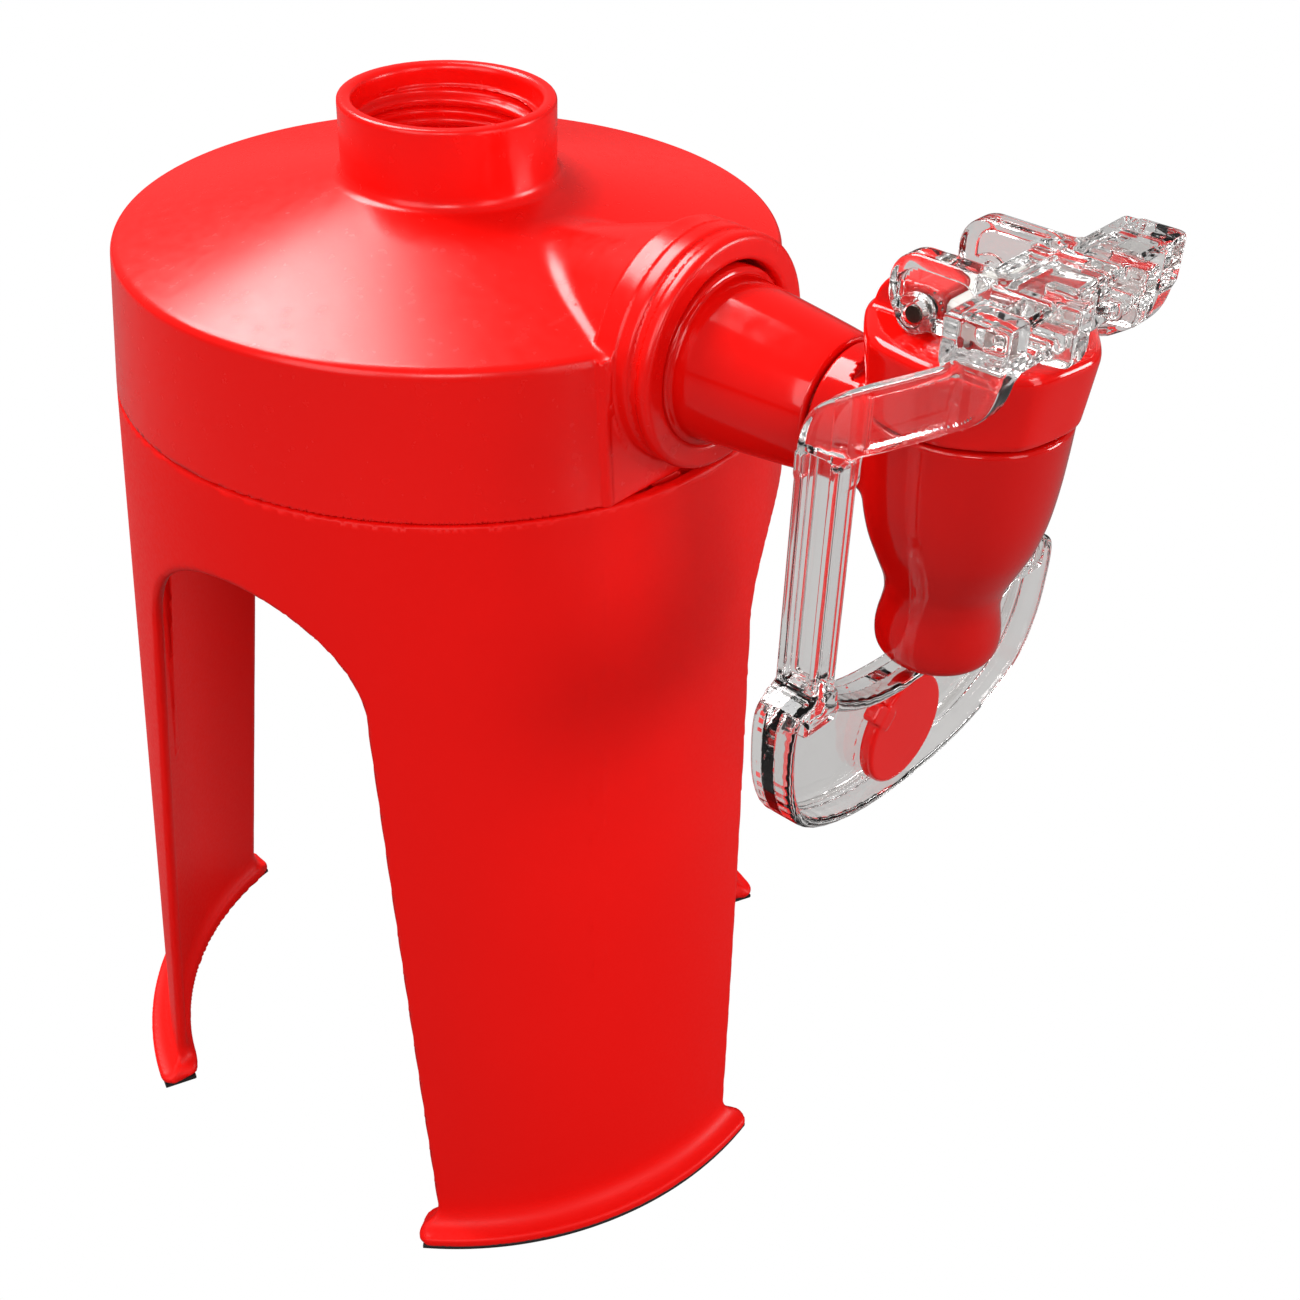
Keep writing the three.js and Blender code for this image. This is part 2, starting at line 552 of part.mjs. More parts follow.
// One side: a plate that runs with the arm, slopes up and inwards, and ends beside the hub.
function sidePlates() {
  const { thick, bendX, hubX } = SIDE;
  const inwards = ARM.outer - CROSSBAR.half;
  const slope = inwards / (hubX - bendX);
  const plate = plateAlongY(SIDE_OUTLINE, -ARM.outer, -ARM.outer + thick);
  const slab = (from, to) => plate.intersect(block(from, to, -FAR, 0, 0, FAR));
  const shear = [1, slope, 0, 0, 0, 1, 0, 0, 0, 0, 1, 0, 0, -slope * bendX, 0, 1];
  const sloping = slab(bendX, hubX).transform(shear);
  const beside = slab(hubX - 0.01, FAR).translate([0, inwards, 0]);
  const near = joined([slab(0, bendX + 0.01), sloping, beside]);
  return near.add(near.mirror([0, 1, 0]));
}

function arms() {
  const { inner, outer, back, front, foot, top } = ARM;
  const { side, deep, bottom, top: grooveTop } = ARM_GROOVE;
  const arm = block(back, front, inner, outer, foot, top)
    .subtract(block(back + side, front - side, outer - deep, outer + 1, bottom, grooveTop))
    .subtract(block(back + side, front - side, inner - 1, inner + deep, bottom, grooveTop));
  return arm.add(arm.mirror([0, 1, 0]));
}

// The half-moon below the spout, a dished plate with a rim.
function paddleOutline(rim) {
  const right = [[0, 111 + rim], [12, 111.9 + rim], [22 - rim * 0.3, 114.8 + rim],
    [28.3 - rim * 0.7, 119 + rim * 0.7], [31.4 - rim, 125 + rim * 0.3], [32.4 - rim, 131],
    [32.4 - rim, 136.6 - rim * 0.3],
    [30.8 - rim * 0.6, 139.2 - rim], [27.4, 139.6 - rim], [23.9, 138.6 - rim],
    [21, 136.2 - rim], [14, 133.0 - rim], [6, 131.5 - rim]];
  const left = right.slice(1).map(([y, z]) => [-y, z]).reverse();
  return [...right, [0, 131.1 - rim], ...left];
}

function paddle() {
  const { back, front } = ARM;
  const { r, y, z, stud } = DISC;
  const hole = rodAlongX(stud + GAP + 0.1, back - 1, front + 1, 16, z).translate([0, y, 0]);
  const seat = rodAlongX(r + GAP, PADDLE.web, front + 1, 40, z).translate([0, y, 0]);
  return plateAlongX(paddleOutline(0), back, front)
    .subtract(plateAlongX(paddleOutline(PADDLE.rim), PADDLE.web, front + 1))
    .subtract(plateAlongX(paddleOutline(PADDLE.rim), back - 1, back + 1.6))
    .subtract(seat)
    .subtract(hole);
}

function lever() {
  return joined([prongs(), crossbar(), sidePlates(), arms(), paddle()])
    .subtract(rodAlongY(PIVOT.pin + GAP, 12, PIVOT.x, PIVOT.z));
}

function leverDisc() {
  const { r, y, z, face, chamfer, stud, studBack } = DISC;
  const back = PADDLE.web + GAP;
  return turnedAlongX([
    [0, studBack], [stud, studBack], [stud, back], [r, back], [r, face - chamfer],
    [r - chamfer, face], [0, face],
  ], 32, z).translate([0, y, 0]);
}

function pivotPin() {
  return rodAlongY(PIVOT.pin, PRONG.outer - 0.2, PIVOT.x, PIVOT.z);
}

// ---- assembly ----
const design = new THREE.Group();

function place(name, body, material) {
  const mesh = new THREE.Mesh(geometryOf(body), material);
  mesh.name = name;
  design.add(mesh);
}

place('stand', stand(), RED);
LEG_ANGLES.forEach((angle, i) => {
  place(`foot_pad_${i + 1}`, footPad(angle), RUBBER);
  place(`head_screw_${i + 1}`, headScrew(angle), STEEL);
});
place('head_shell', head(), RED);
place('drink_duct', drinkDuct(), RED);
place('neck_gasket', neckGasket(), SILICONE);
place('chamber_plug', chamberPlug(), RED);
place('plug_seal', plugSeal(), SILICONE);
place('outlet_tube', outletTube(), TAP_RED);
place('tube_gasket', tubeGasket(), SILICONE);
place('tap_body', tapBody(), TAP_RED);
place('inlet_seal', inletSeal(), SILICONE);
place('tap_cap', tapCap(), TAP_RED);
place('cap_gasket', capGasket(), SILICONE);
place('valve_stem', valveStem(), WHITE);
place('valve_seal', valveSeal(), SILICONE);
place('stem_seal', stemSeal(), SILICONE);
place('valve_spring', valveSpring(), STEEL);
place('lever', lever(), CLEAR);
place('lever_disc', leverDisc(), RED);
place('pivot_pin', pivotPin(), STEEL);

const box = new THREE.Box3().setFromObject(design);
const centre = box.getCenter(new THREE.Vector3());
design.position.set(-centre.x, -centre.y, -box.min.z);

export default design;
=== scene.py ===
import math
import bpy
import numpy as np
from mathutils import Matrix, Vector


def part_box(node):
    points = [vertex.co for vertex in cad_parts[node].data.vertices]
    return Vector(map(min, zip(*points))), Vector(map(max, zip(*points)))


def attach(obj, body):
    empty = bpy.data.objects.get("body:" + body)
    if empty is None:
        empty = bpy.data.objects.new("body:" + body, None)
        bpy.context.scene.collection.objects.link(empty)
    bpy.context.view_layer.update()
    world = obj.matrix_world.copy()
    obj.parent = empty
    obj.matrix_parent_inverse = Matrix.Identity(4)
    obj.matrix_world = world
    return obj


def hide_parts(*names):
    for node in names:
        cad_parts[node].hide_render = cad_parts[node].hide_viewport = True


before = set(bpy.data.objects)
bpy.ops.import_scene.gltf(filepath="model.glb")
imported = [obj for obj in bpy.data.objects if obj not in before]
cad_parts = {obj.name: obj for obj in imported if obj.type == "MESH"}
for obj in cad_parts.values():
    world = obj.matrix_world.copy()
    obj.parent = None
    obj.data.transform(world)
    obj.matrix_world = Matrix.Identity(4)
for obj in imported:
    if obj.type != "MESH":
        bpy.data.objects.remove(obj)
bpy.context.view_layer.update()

# Lengths below are in millimetres in the design frame: the bottle's axis is x = y = 0, the table is
# z = 0 and +X points at the tap. The neck gasket is turned about the bottle's axis, so it gives the
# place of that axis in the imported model.
MM = 0.001
gasket_low, gasket_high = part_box("neck_gasket")
AXIS_X = (gasket_low.x + gasket_high.x) / 2
AXIS_Y = (gasket_low.y + gasket_high.y) / 2

# ---- main dimensions, most of them the CAD's own ----
# Names that end in _R are radii, _HALF half widths, and _LOW, _TOP and _Z heights.
SEAM_Z, SEAM_R = 146.5, 54.0             # where the head meets the stand
WALL = 2.2
LEGS = (-22.3, 97.7, 217.7)              # azimuths in degrees
SCREW_OUT, SCREW_HOLE_R = 45, 1.5        # the head screws' distance from the axis
OUTLET_Z = 165.4                         # the axis of the tube and the tap's inlet
TAP_X = 96.2                             # the axis of the spout and the cap
PIVOT_X, PIVOT_Z, PIN_HOLE_R = 91.7, 186.9, 1.4


# ---- fields: signed distances in millimetres, negative inside ----
def blend_in(a, b, k):
    """Joins two solids with a fillet about k wide."""
    h = np.maximum(k - np.abs(a - b), 0) / k
    return np.minimum(a, b) - h * h * k * 0.25


def blend_cut(a, b, k):
    """Keeps what is in both solids, with the edge between them rounded over about k."""
    h = np.maximum(k - np.abs(a - b), 0) / k
    return np.maximum(a, b) + h * h * k * 0.25


def cut(a, b, k):
    """Takes solid b out of solid a, with a rounded edge."""
    return blend_cut(a, -b, k)


def span(value, low, high):
    """How far outside the interval a value lies."""
    return np.abs(value - (low + high) / 2) - (high - low) / 2


def rounded_rect(u, v, u0, u1, v0, v1, radius):
    """Signed distance to a rectangle with rounded corners, in a plane."""
    du = span(u, u0 + radius, u1 - radius)
    dv = span(v, v0 + radius, v1 - radius)
    outside = np.sqrt(np.maximum(du, 0) ** 2 + np.maximum(dv, 0) ** 2)
    return outside + np.minimum(np.maximum(du, dv), 0) - radius


def polygon(u, v, points):
    """Signed distance to a closed outline in a plane."""
    best = None
    sign = 1.0
    for (au, av), (bu, bv) in zip(points, points[1:] + points[:1]):
        eu, ev = bu - au, bv - av
        wu, wv = u - au, v - av
        t = np.clip((wu * eu + wv * ev) / (eu * eu + ev * ev), 0, 1)
        d = (wu - eu * t) ** 2 + (wv - ev * t) ** 2
        best = d if best is None else np.minimum(best, d)
        above, below = v >= av, v < bv
        left = eu * wv > ev * wu
        crosses = (above & below & left) | (~above & ~below & ~left)
        sign = np.where(crosses, -sign, sign)
    return sign * np.sqrt(best)


def smooth_curve(points, per_span, closed=False):
    """A Catmull-Rom curve through the points."""
    p = np.array(points, float)
    if closed:
        p = np.vstack([p[-1], p, p[0], p[1]])
    else:
        p = np.vstack([2 * p[0] - p[1], p, 2 * p[-1] - p[-2]])
    out = []
    for a, b, c, d in zip(p[:-3], p[1:-2], p[2:-1], p[3:]):
        for t in np.arange(per_span) / per_span:
            square = (2 * a - 5 * b + 4 * c - d) * t**2
            cube = (3 * b - a - 3 * c + d) * t**3
            out.append(0.5 * (2 * b + (c - a) * t + square + cube))
    if not closed:
        out.append(p[-2])
    return [tuple(q) for q in out]


def turn(x, y, degrees):
    """Coordinates along and across a direction at an azimuth."""
    a = math.radians(degrees)
    return x * math.cos(a) + y * math.sin(a), y * math.cos(a) - x * math.sin(a)


# ---- fields to meshes ----
PROJECTIONS = 3                          # times that the points are moved on to the surface
LARGEST_MOVE = 0.7                       # in grid steps
CORNERS = [(i, j, k) for i in (0, 1) for j in (0, 1) for k in (0, 1)]
STEPS = [(1, 0, 0), (0, 1, 0), (0, 0, 1)]
EDGES = [(a, tuple(np.add(a, s))) for a in CORNERS for s in STEPS if max(np.add(a, s)) == 1]


def gradient(field, p, h=0.03):
    """The field's slope at points, by differences over h on either side."""
    g = np.empty_like(p)
    for axis in range(3):
        plus, minus = p.copy(), p.copy()
        plus[:, axis] += h
        minus[:, axis] -= h
        g[:, axis] = (field(*plus.T) - field(*minus.T)) / (2 * h)
    return g


def surface(field, low, high, step):
    """The zero surface of a field, as points, quads and normals."""
    low = np.array(low, float)
    counts = np.ceil((np.array(high) - low) / step).astype(int) + 1
    x, y, z = [(low[a] + step * np.arange(counts[a])).astype(np.float32) for a in range(3)]
    values = np.broadcast_to(field(x[:, None, None], y[None, :, None], z[None, None, :]), counts)
    inside = values < 0
    total = sum(
        inside[i : counts[0] - 1 + i, j : counts[1] - 1 + j, k : counts[2] - 1 + k].astype(np.int8)
        for i, j, k in CORNERS
    )
    cells = np.argwhere((total > 0) & (total < 8))
    index = np.full(total.shape, -1, np.int32)
    index[tuple(cells.T)] = np.arange(len(cells))
    place, count = np.zeros((len(cells), 3)), np.zeros(len(cells))
    for a, b in EDGES:
        va = values[tuple((cells + a).T)].astype(float)
        vb = values[tuple((cells + b).T)].astype(float)
        crossed = (va < 0) != (vb < 0)
        t = np.where(crossed, va / np.where(crossed, va - vb, 1), 0)
        where = np.array(a) + t[:, None] * (np.array(b) - np.array(a))
        place += where * crossed[:, None]
        count += crossed
    points = low + step * (cells + place / count[:, None])
    quads = []
    rings = (
        ((0, -1, -1), (0, 0, -1), (0, 0, 0), (0, -1, 0)),
        ((-1, 0, -1), (-1, 0, 0), (0, 0, 0), (0, 0, -1)),
        ((-1, -1, 0), (0, -1, 0), (0, 0, 0), (-1, 0, 0)),
    )
    for axis, ring in enumerate(rings):
        ahead = [slice(None)] * 3
        ahead[axis] = slice(1, None)
        behind = [slice(None)] * 3
        behind[axis] = slice(None, -1)
        starts = np.argwhere(inside[tuple(behind)] != inside[tuple(ahead)])
        starts = starts[np.all((starts >= 1) & (starts < counts - 1), axis=1)]
        quad = np.stack([index[tuple((starts + o).T)] for o in ring], 1)
        outward = inside[tuple(starts.T)]
        quads.append(np.where(outward[:, None], quad, quad[:, ::-1]))
    for _ in range(PROJECTIONS):
        g = gradient(field, points)
        size = np.maximum((g * g).sum(1), 0.05)
        move = field(*points.T) / size
        points -= np.clip(move[:, None] * g, -LARGEST_MOVE * step, LARGEST_MOVE * step)
    g = gradient(field, points)
    normals = g / np.maximum(np.linalg.norm(g, axis=1), 1e-6)[:, None]
    return points, np.vstack(quads), normals


def to_world(points):
    """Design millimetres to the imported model's metres."""
    return (np.asarray(points, float) * MM + np.array([AXIS_X, AXIS_Y, 0])).astype(np.float32)


def make_mesh(name, points, faces, normals=None):
    """A smooth-shaded mesh object from millimetre points and quads."""
    mesh = bpy.data.meshes.new(name)
    faces = np.asarray(faces, np.int32)
    sides = faces.shape[1]
    mesh.vertices.add(len(points))
    mesh.vertices.foreach_set("co", to_world(points).ravel())
    mesh.loops.add(faces.size)
    mesh.loops.foreach_set("vertex_index", faces.ravel())
    mesh.polygons.add(len(faces))
    mesh.polygons.foreach_set("loop_start", np.arange(0, faces.size, sides, dtype=np.int32))
    mesh.update(calc_edges=True)
    mesh.shade_smooth()
    if normals is not None:
        mesh.normals_split_custom_set_from_vertices(normals.astype(np.float32))
    piece = bpy.data.objects.new(name, mesh)
    bpy.context.scene.collection.objects.link(piece)
    return piece


def field_piece(name, field, low, high, step):
    """The surface of a field inside a box, sampled at a grid step in millimetres."""
    coarse = 1.0
    return make_mesh(name, *surface(field, low, high, step * coarse))


def lathe_piece(name, profile, segments, height):
    """A closed profile of (radius, x) points turned about a line along X at a height."""
    ring = np.array(profile, float)
    angles = 2 * np.pi * np.arange(segments) / segments
    r, x = ring[:, 0][None, :], ring[:, 1][None, :]
    c, s = np.cos(angles)[:, None], np.sin(angles)[:, None]
    points = np.stack([x + 0 * c, r * c, height + r * s], -1)
    n = len(ring)
    i, j = np.meshgrid(np.arange(segments), np.arange(n), indexing="ij")
    i2, j2 = (i + 1) % segments, (j + 1) % n
    quads = np.stack([i * n + j, i2 * n + j, i2 * n + j2, i * n + j2], -1).reshape(-1, 4)
    return make_mesh(name, points.reshape(-1, 3), quads)


# ---- materials ----
def new_material(name):
    """A material with its node tree and its shader."""
    material = bpy.data.materials.new(name)
    material.use_nodes = True
    tree = material.node_tree
    shader = tree.nodes["Principled BSDF"]
    return material, tree, shader


def texture_noise(tree, scale, detail):
    """Noise in the piece's own coordinates."""
    noise = tree.nodes.new("ShaderNodeTexNoise")
    noise.inputs["Scale"].default_value = scale
    noise.inputs["Detail"].default_value = detail
    place = tree.nodes.new("ShaderNodeTexCoord")
    tree.links.new(place.outputs["Object"], noise.inputs["Vector"])
    return noise


def ranged(tree, source, low, high, out_low, out_high):
    """A value moved from one range to another."""
    node = tree.nodes.new("ShaderNodeMapRange")
    node.inputs["From Min"].default_value = low
    node.inputs["From Max"].default_value = high
    node.inputs["To Min"].default_value = out_low
    node.inputs["To Max"].default_value = out_high
    tree.links.new(source, node.inputs["Value"])
    return node.outputs["Result"]


def mixed_colour(tree, factor, a, b):
    """A colour between a and b."""
    mix = tree.nodes.new("ShaderNodeMix")
    mix.data_type = "RGBA"
    mix.inputs["A"].default_value = (*a, 1)
    mix.inputs["B"].default_value = (*b, 1)
    tree.links.new(factor, mix.inputs["Factor"])
    return mix.outputs["Result"]


def bumped(tree, shader, height, distance, strength=1.0):
    """Adds a relief whose full height is the distance, in metres."""
    bump = tree.nodes.new("ShaderNodeBump")
    bump.inputs["Distance"].default_value = distance
    bump.inputs["Strength"].default_value = strength
    tree.links.new(height, bump.inputs["Height"])
    tree.links.new(bump.outputs["Normal"], shader.inputs["Normal"])


def plastic(name, colour, deep, roughness, spread, grain, grain_depth, specular=0.35):
    """Moulded plastic: a slow drift in colour, a fine drift in roughness, and a fine grain."""
    material, tree, shader = new_material(name)
    drift = texture_noise(tree, 18.0, 2.0)
    amount = ranged(tree, drift.outputs["Fac"], 0.35, 0.65, 0, 1)
    tree.links.new(mixed_colour(tree, amount, colour, deep), shader.inputs["Base Color"])
    fine = texture_noise(tree, grain, 4.0)
    rough = ranged(tree, fine.outputs["Fac"], 0.3, 0.7, roughness - spread, roughness + spread)
    tree.links.new(rough, shader.inputs["Roughness"])
    shader.inputs["Specular IOR Level"].default_value = specular
    bumped(tree, shader, fine.outputs["Fac"], grain_depth)
    return material


def clear_material():
    """Water-clear polystyrene with faint flow marks."""
    material, tree, shader = new_material("clear_polystyrene")
    flow = texture_noise(tree, 60.0, 2.0)
    amount = ranged(tree, flow.outputs["Fac"], 0.3, 0.7, 0, 1)
    tint = mixed_colour(tree, amount, (0.90, 0.885, 0.87), (0.84, 0.82, 0.81))
    tree.links.new(tint, shader.inputs["Base Color"])
    rough = ranged(tree, flow.outputs["Fac"], 0.3, 0.7, 0.015, 0.05)
    tree.links.new(rough, shader.inputs["Roughness"])
    shader.inputs["Transmission Weight"].default_value = 1.0
    shader.inputs["IOR"].default_value = 1.5
    bumped(tree, shader, flow.outputs["Fac"], 0.0004, 0.5)
    return material


def steel_material(name, light, dark):
    """Drawn steel: a fine mottle in tone and roughness."""
    material, tree, shader = new_material(name)
    fine = texture_noise(tree, 900.0, 2.0)
    tone = mixed_colour(tree, fine.outputs["Fac"], light, dark)
    tree.links.new(tone, shader.inputs["Base Color"])
    rough = ranged(tree, fine.outputs["Fac"], 0.3, 0.7, 0.22, 0.36)
    tree.links.new(rough, shader.inputs["Roughness"])
    shader.inputs["Metallic"].default_value = 1.0
    return material


RED, DEEP_RED = (0.90, 0.0042, 0.0024), (0.86, 0.0036, 0.0020)
SATIN = plastic("red_satin_plastic", RED, DEEP_RED, 0.42, 0.06, 1500.0, 0.00002, 0.2)
GLOSS = plastic("red_gloss_plastic", RED, DEEP_RED, 0.25, 0.03, 500.0, 0.000003, 0.36)
TAP_RED, TAP_DEEP = (0.84, 0.0040, 0.0022), (0.74, 0.0030, 0.0018)
TAP = plastic("tap_red_plastic", TAP_RED, TAP_DEEP, 0.10, 0.03, 400.0, 0.000003, 0.42)
# The spout's reds are the tap plastic darkened: painted shade that stands in for the dark reflections
# along the spout.
SPOUT_SHADED_RED, SPOUT_SHADED_DEEP = (0.66, 0.0034, 0.0020), (0.56, 0.0026, 0.0016)
SHADED_TAP = plastic("tap_red_painted_shade", SPOUT_SHADED_RED, SPOUT_SHADED_DEEP, 0.09, 0.03, 400.0, 0.000003, 0.42)
# Black for the foot strips: partly the pads' own rubber, partly a painted shadow for the dark contact
# line under each foot.
PAD_SHADOW_BLACK, PAD_SHADOW_PALER = (0.012, 0.010, 0.010), (0.02, 0.018, 0.018)
RUBBER_AND_SHADOW = plastic("black_rubber_and_painted_shadow", PAD_SHADOW_BLACK, PAD_SHADOW_PALER, 0.7, 0.08, 1200.0, 0.00003)
SILICONE = plastic("white_silicone", (0.72, 0.72, 0.69), (0.66, 0.66, 0.63), 0.5, 0.06, 800.0, 0.00001)
WHITE = plastic("white_plastic", (0.80, 0.80, 0.77), (0.76, 0.76, 0.73), 0.4, 0.05, 900.0, 0.00001)
CLEAR = clear_material()
STEEL = steel_material("drawn_steel", (0.72, 0.72, 0.74), (0.6, 0.6, 0.62))
DARK_STEEL = steel_material("blackened_steel", (0.12, 0.08, 0.06), (0.06, 0.045, 0.04))


def finish_piece(piece, material, body, slot, *nodes):
    piece.data.materials.clear()
    piece.data.materials.append(material)
    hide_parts(*nodes)
    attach(piece, body)


# ---- stand ----
FLOOR_R = 62.6
ARCH_FLOOR, ARCH_SPRING, ARCH_SPRING_Z, ARCH_TOP = 33.0, 22.3, 110.0, 130.2
ARCH_START = 12                          # an opening's nearest point to the axis
ARCH_TILT = math.atan((ARCH_FLOOR - ARCH_SPRING) / ARCH_SPRING_Z)
FOOT_R, FOOT_HALF = 66.3, 31.0           # the flange's edge, and half its width in degrees
FOOT_LOW, FOOT_TOP, FOOT_INWARD = 1.1, 3.0, 3.2
WALL_LOW = 1.2
RIB_HALF, RIB_LOW, RIB_TOP, RIB_START = 0.7, 58, 139.5, 5
RIB_DEPTH, RIB_TAPER_LOW, RIB_TAPER = 2.4, 60, 60
TAB_HALF, TAB_IN, TAB_OUT, TAB_LOW, TAB_TOP = 4.5, 41, 53.2, 139, 142
COLLAR_IN, COLLAR_OUT, COLLAR_LOW, COLLAR_TOP = 49.3, 51.3, 143.4, 152.0
BOSS_NOTCH_X, BOSS_NOTCH_HALF = 45.5, 21.5


def arch_distance(x, y, z, azimuth):
    """Distance to one arch-shaped opening, which runs straight out from the axis."""
    along, across = turn(x, y, azimuth)
    half = ARCH_FLOOR + (ARCH_SPRING - ARCH_FLOOR) * z / ARCH_SPRING_Z
    straight = (np.abs(across) - half) * math.cos(ARCH_TILT)
    rise = ARCH_TOP - ARCH_SPRING_Z
    up = np.maximum(z - ARCH_SPRING_Z, 0)
    k1 = np.sqrt((across / ARCH_SPRING) ** 2 + (up / rise) ** 2)
    k2 = np.sqrt((across / ARCH_SPRING**2) ** 2 + (up / rise**2) ** 2)
    crown = k1 * (k1 - 1) / np.maximum(k2, 1e-6)
    shape = np.where(z < ARCH_SPRING_Z, straight, crown)
    return np.maximum(shape, ARCH_START - along)


def stand_wall_radius(z):
    """The outside of the tapered wall at a height."""
    return FLOOR_R + (SEAM_R - FLOOR_R) * z / SEAM_Z


def foot_flange(x, y, z, r):
    """The flared ring under the wall, kept only under the three legs."""
    flange = blend_cut(span(r, FLOOR_R - FOOT_INWARD, FOOT_R), span(z, FOOT_LOW, FOOT_TOP), 0.8)
    angle = math.radians(FOOT_HALF)
    under = None
    for leg in LEGS:
        along, across = turn(x, y, leg)
        side = np.abs(across) * math.cos(angle) - along * math.sin(angle)
        under = side if under is None else np.minimum(under, side)
    return blend_cut(flange, under, 2.4)


def leg_rib(along, across, z, r):
    """A thin upright rib on the inside of a leg, deeper towards the top."""
    deep = RIB_DEPTH * np.clip((z - RIB_TAPER_LOW) / RIB_TAPER, 0, 1)
    wall_r = stand_wall_radius(z)
    rib = np.maximum(span(across, -RIB_HALF, RIB_HALF), span(z, RIB_LOW, RIB_TOP))
    rib = np.maximum(rib, np.maximum(wall_r - WALL - deep - r, r - wall_r + 0.5))
    return np.maximum(rib, RIB_START - along)


def screw_tab(along, across, z):
    """A tab inside a leg that a head screw goes through."""
    slab = np.maximum(span(along, TAB_IN, TAB_OUT), span(z, TAB_LOW, TAB_TOP))
    tab = blend_cut(span(across, -TAB_HALF, TAB_HALF), slab, 0.6)
    return cut(tab, np.sqrt((along - SCREW_OUT) ** 2 + across**2) - SCREW_HOLE_R, 0.3)


def stand_field(x, y, z):
    """The tapered wall with its arches, the feet, the collar inside the head, tabs and ribs."""
    r = np.sqrt(x * x + y * y)
    top = SEAM_Z - 0.3
    wall = np.maximum(np.abs(r - stand_wall_radius(z) + WALL / 2) - WALL / 2, WALL_LOW - z)
    wall = blend_cut(wall, z - top, 0.5)
    for leg in LEGS:
        wall = cut(wall, arch_distance(x, y, z, leg + 60), 1.1)
    body = blend_in(wall, foot_flange(x, y, z, r), 4.5)
    body = np.maximum(body, FOOT_LOW - z)
    collar = blend_cut(span(r, COLLAR_IN, COLLAR_OUT), span(z, COLLAR_LOW, COLLAR_TOP), 0.8)
    body = blend_in(body, collar, 0.8)
    for leg in LEGS:
        along, across = turn(x, y, leg)
        body = blend_in(body, screw_tab(along, across, z), 0.8)
        body = blend_in(body, leg_rib(along, across, z, r), 0.8)
    notch = np.maximum(np.maximum(BOSS_NOTCH_X - x, np.abs(y) - BOSS_NOTCH_HALF), top - z)
    return np.maximum(body, -notch)


# ---- head ----
SHOULDER_R, SHOULDER_Z = 52.0, 169.2
CONE_SLOPE = math.tan(math.radians(13.7))
CONE_AT_R, CONE_AT_Z = 51, 169.5         # a point on the cone
NECK_R, NECK_TOP, NECK_LOW, NECK_BORE = 16.63, 189.7, 160, 14.3
SLEEVE_R, SLEEVE_LOW, SLEEVE_TOP = 16.6, 171.0, 176
THREAD_PITCH, THREAD_CREST, THREAD_START = 3.18, 13.0, 176.4
THREAD_LOW, THREAD_TOP = 175.2, 186.2
FACE_X, FACE_TILT = 51.1, 1.8            # the boss's flat face, which leans back by the tilt
BLOCK_HALF, BLOCK_BACK = 18.6, 40
BEAD_Y, BEAD_IN, BEAD_R = 18.3, 0.45, 0.75
RING_R, RING_Z, RING_BACK, RING_FRONT = 17.5, 166.0, 46, 56.4
RING_RECESS, RING_FLOOR = 13.6, 50.6
GROOVE_BACK, GROOVE_FRONT, GROOVE_DEPTH = 52.9, 54.1, 0.4
FAIRING_BACK, FAIRING_FRONT, FAIRING_BACK_R = 14, 50, 7
FAIRING_LENGTH = FAIRING_FRONT - FAIRING_BACK
FAIRING_LEAN = 0.967                     # cosine of the fairing's slope
POST_R, POST_LOW, POST_TOP, POST_HOLE_TOP = 4, 147.5, 168.6, 158
DUCT_ROOM_R, DUCT_ROOM_BACK, DUCT_ROOM_FRONT = 9.2, 43.1, 52


def head_cone(r, z, drop):
    """The skirt and low cone of the head, a given distance inside the outside."""
    skirt = SEAM_R + (SHOULDER_R - SEAM_R) * (z - SEAM_Z) / (SHOULDER_Z - SEAM_Z) - drop
    cone = CONE_AT_Z + (CONE_AT_R - r) * CONE_SLOPE
    return r - skirt, (z - cone) * math.cos(math.atan(CONE_SLOPE)) + drop


def flat_face(x, z):
    """Distance outside the boss's slightly tilted flat face."""
    return x - (FACE_X - FACE_TILT * (z - SEAM_Z) / (SHOULDER_Z - SEAM_Z))


def fairing(x, y, z, drop):
    """The swelling that widens towards the ring, a given distance inside the outside."""
    axis_z = OUTLET_Z + (RING_Z - OUTLET_Z) * np.clip((x - FAIRING_BACK) / FAIRING_LENGTH, 0, 1)
    rho = np.sqrt(y * y + (z - axis_z) ** 2)
    radius = FAIRING_BACK_R + (RING_R - FAIRING_BACK_R) * (x - FAIRING_BACK) / FAIRING_LENGTH - drop
    return (rho - radius) * FAIRING_LEAN


def thread(x, y, z, r):
    """A helical ridge inside the neck."""
    turns = np.arctan2(y, x) / (2 * np.pi)
    phase = z - THREAD_START - THREAD_PITCH * turns
    m = phase - THREAD_PITCH * np.round(phase / THREAD_PITCH)
    flank = np.abs(m) - 0.45 - 0.55 * (r - THREAD_CREST)
    ridge = blend_cut(flank * 0.88, THREAD_CREST - r, 0.35)
    return np.maximum(np.maximum(ridge, r - NECK_BORE - 0.4), span(z, THREAD_LOW, THREAD_TOP))


def boss_block(x, y, z, roof):
    """The flat-faced block that carries the ring, with a thin bead down each corner."""
    w = np.abs(y)
    face = flat_face(x, z)
    block = blend_cut(np.maximum(w - BLOCK_HALF, BLOCK_BACK - x), face, 0.8)
    bead = np.sqrt((w - BEAD_Y) ** 2 + (face + BEAD_IN) ** 2) - BEAD_R
    block = np.maximum(blend_in(block, bead, 0.3), roof + 0.2)
    return blend_cut(block, SEAM_Z - z, 0.3)


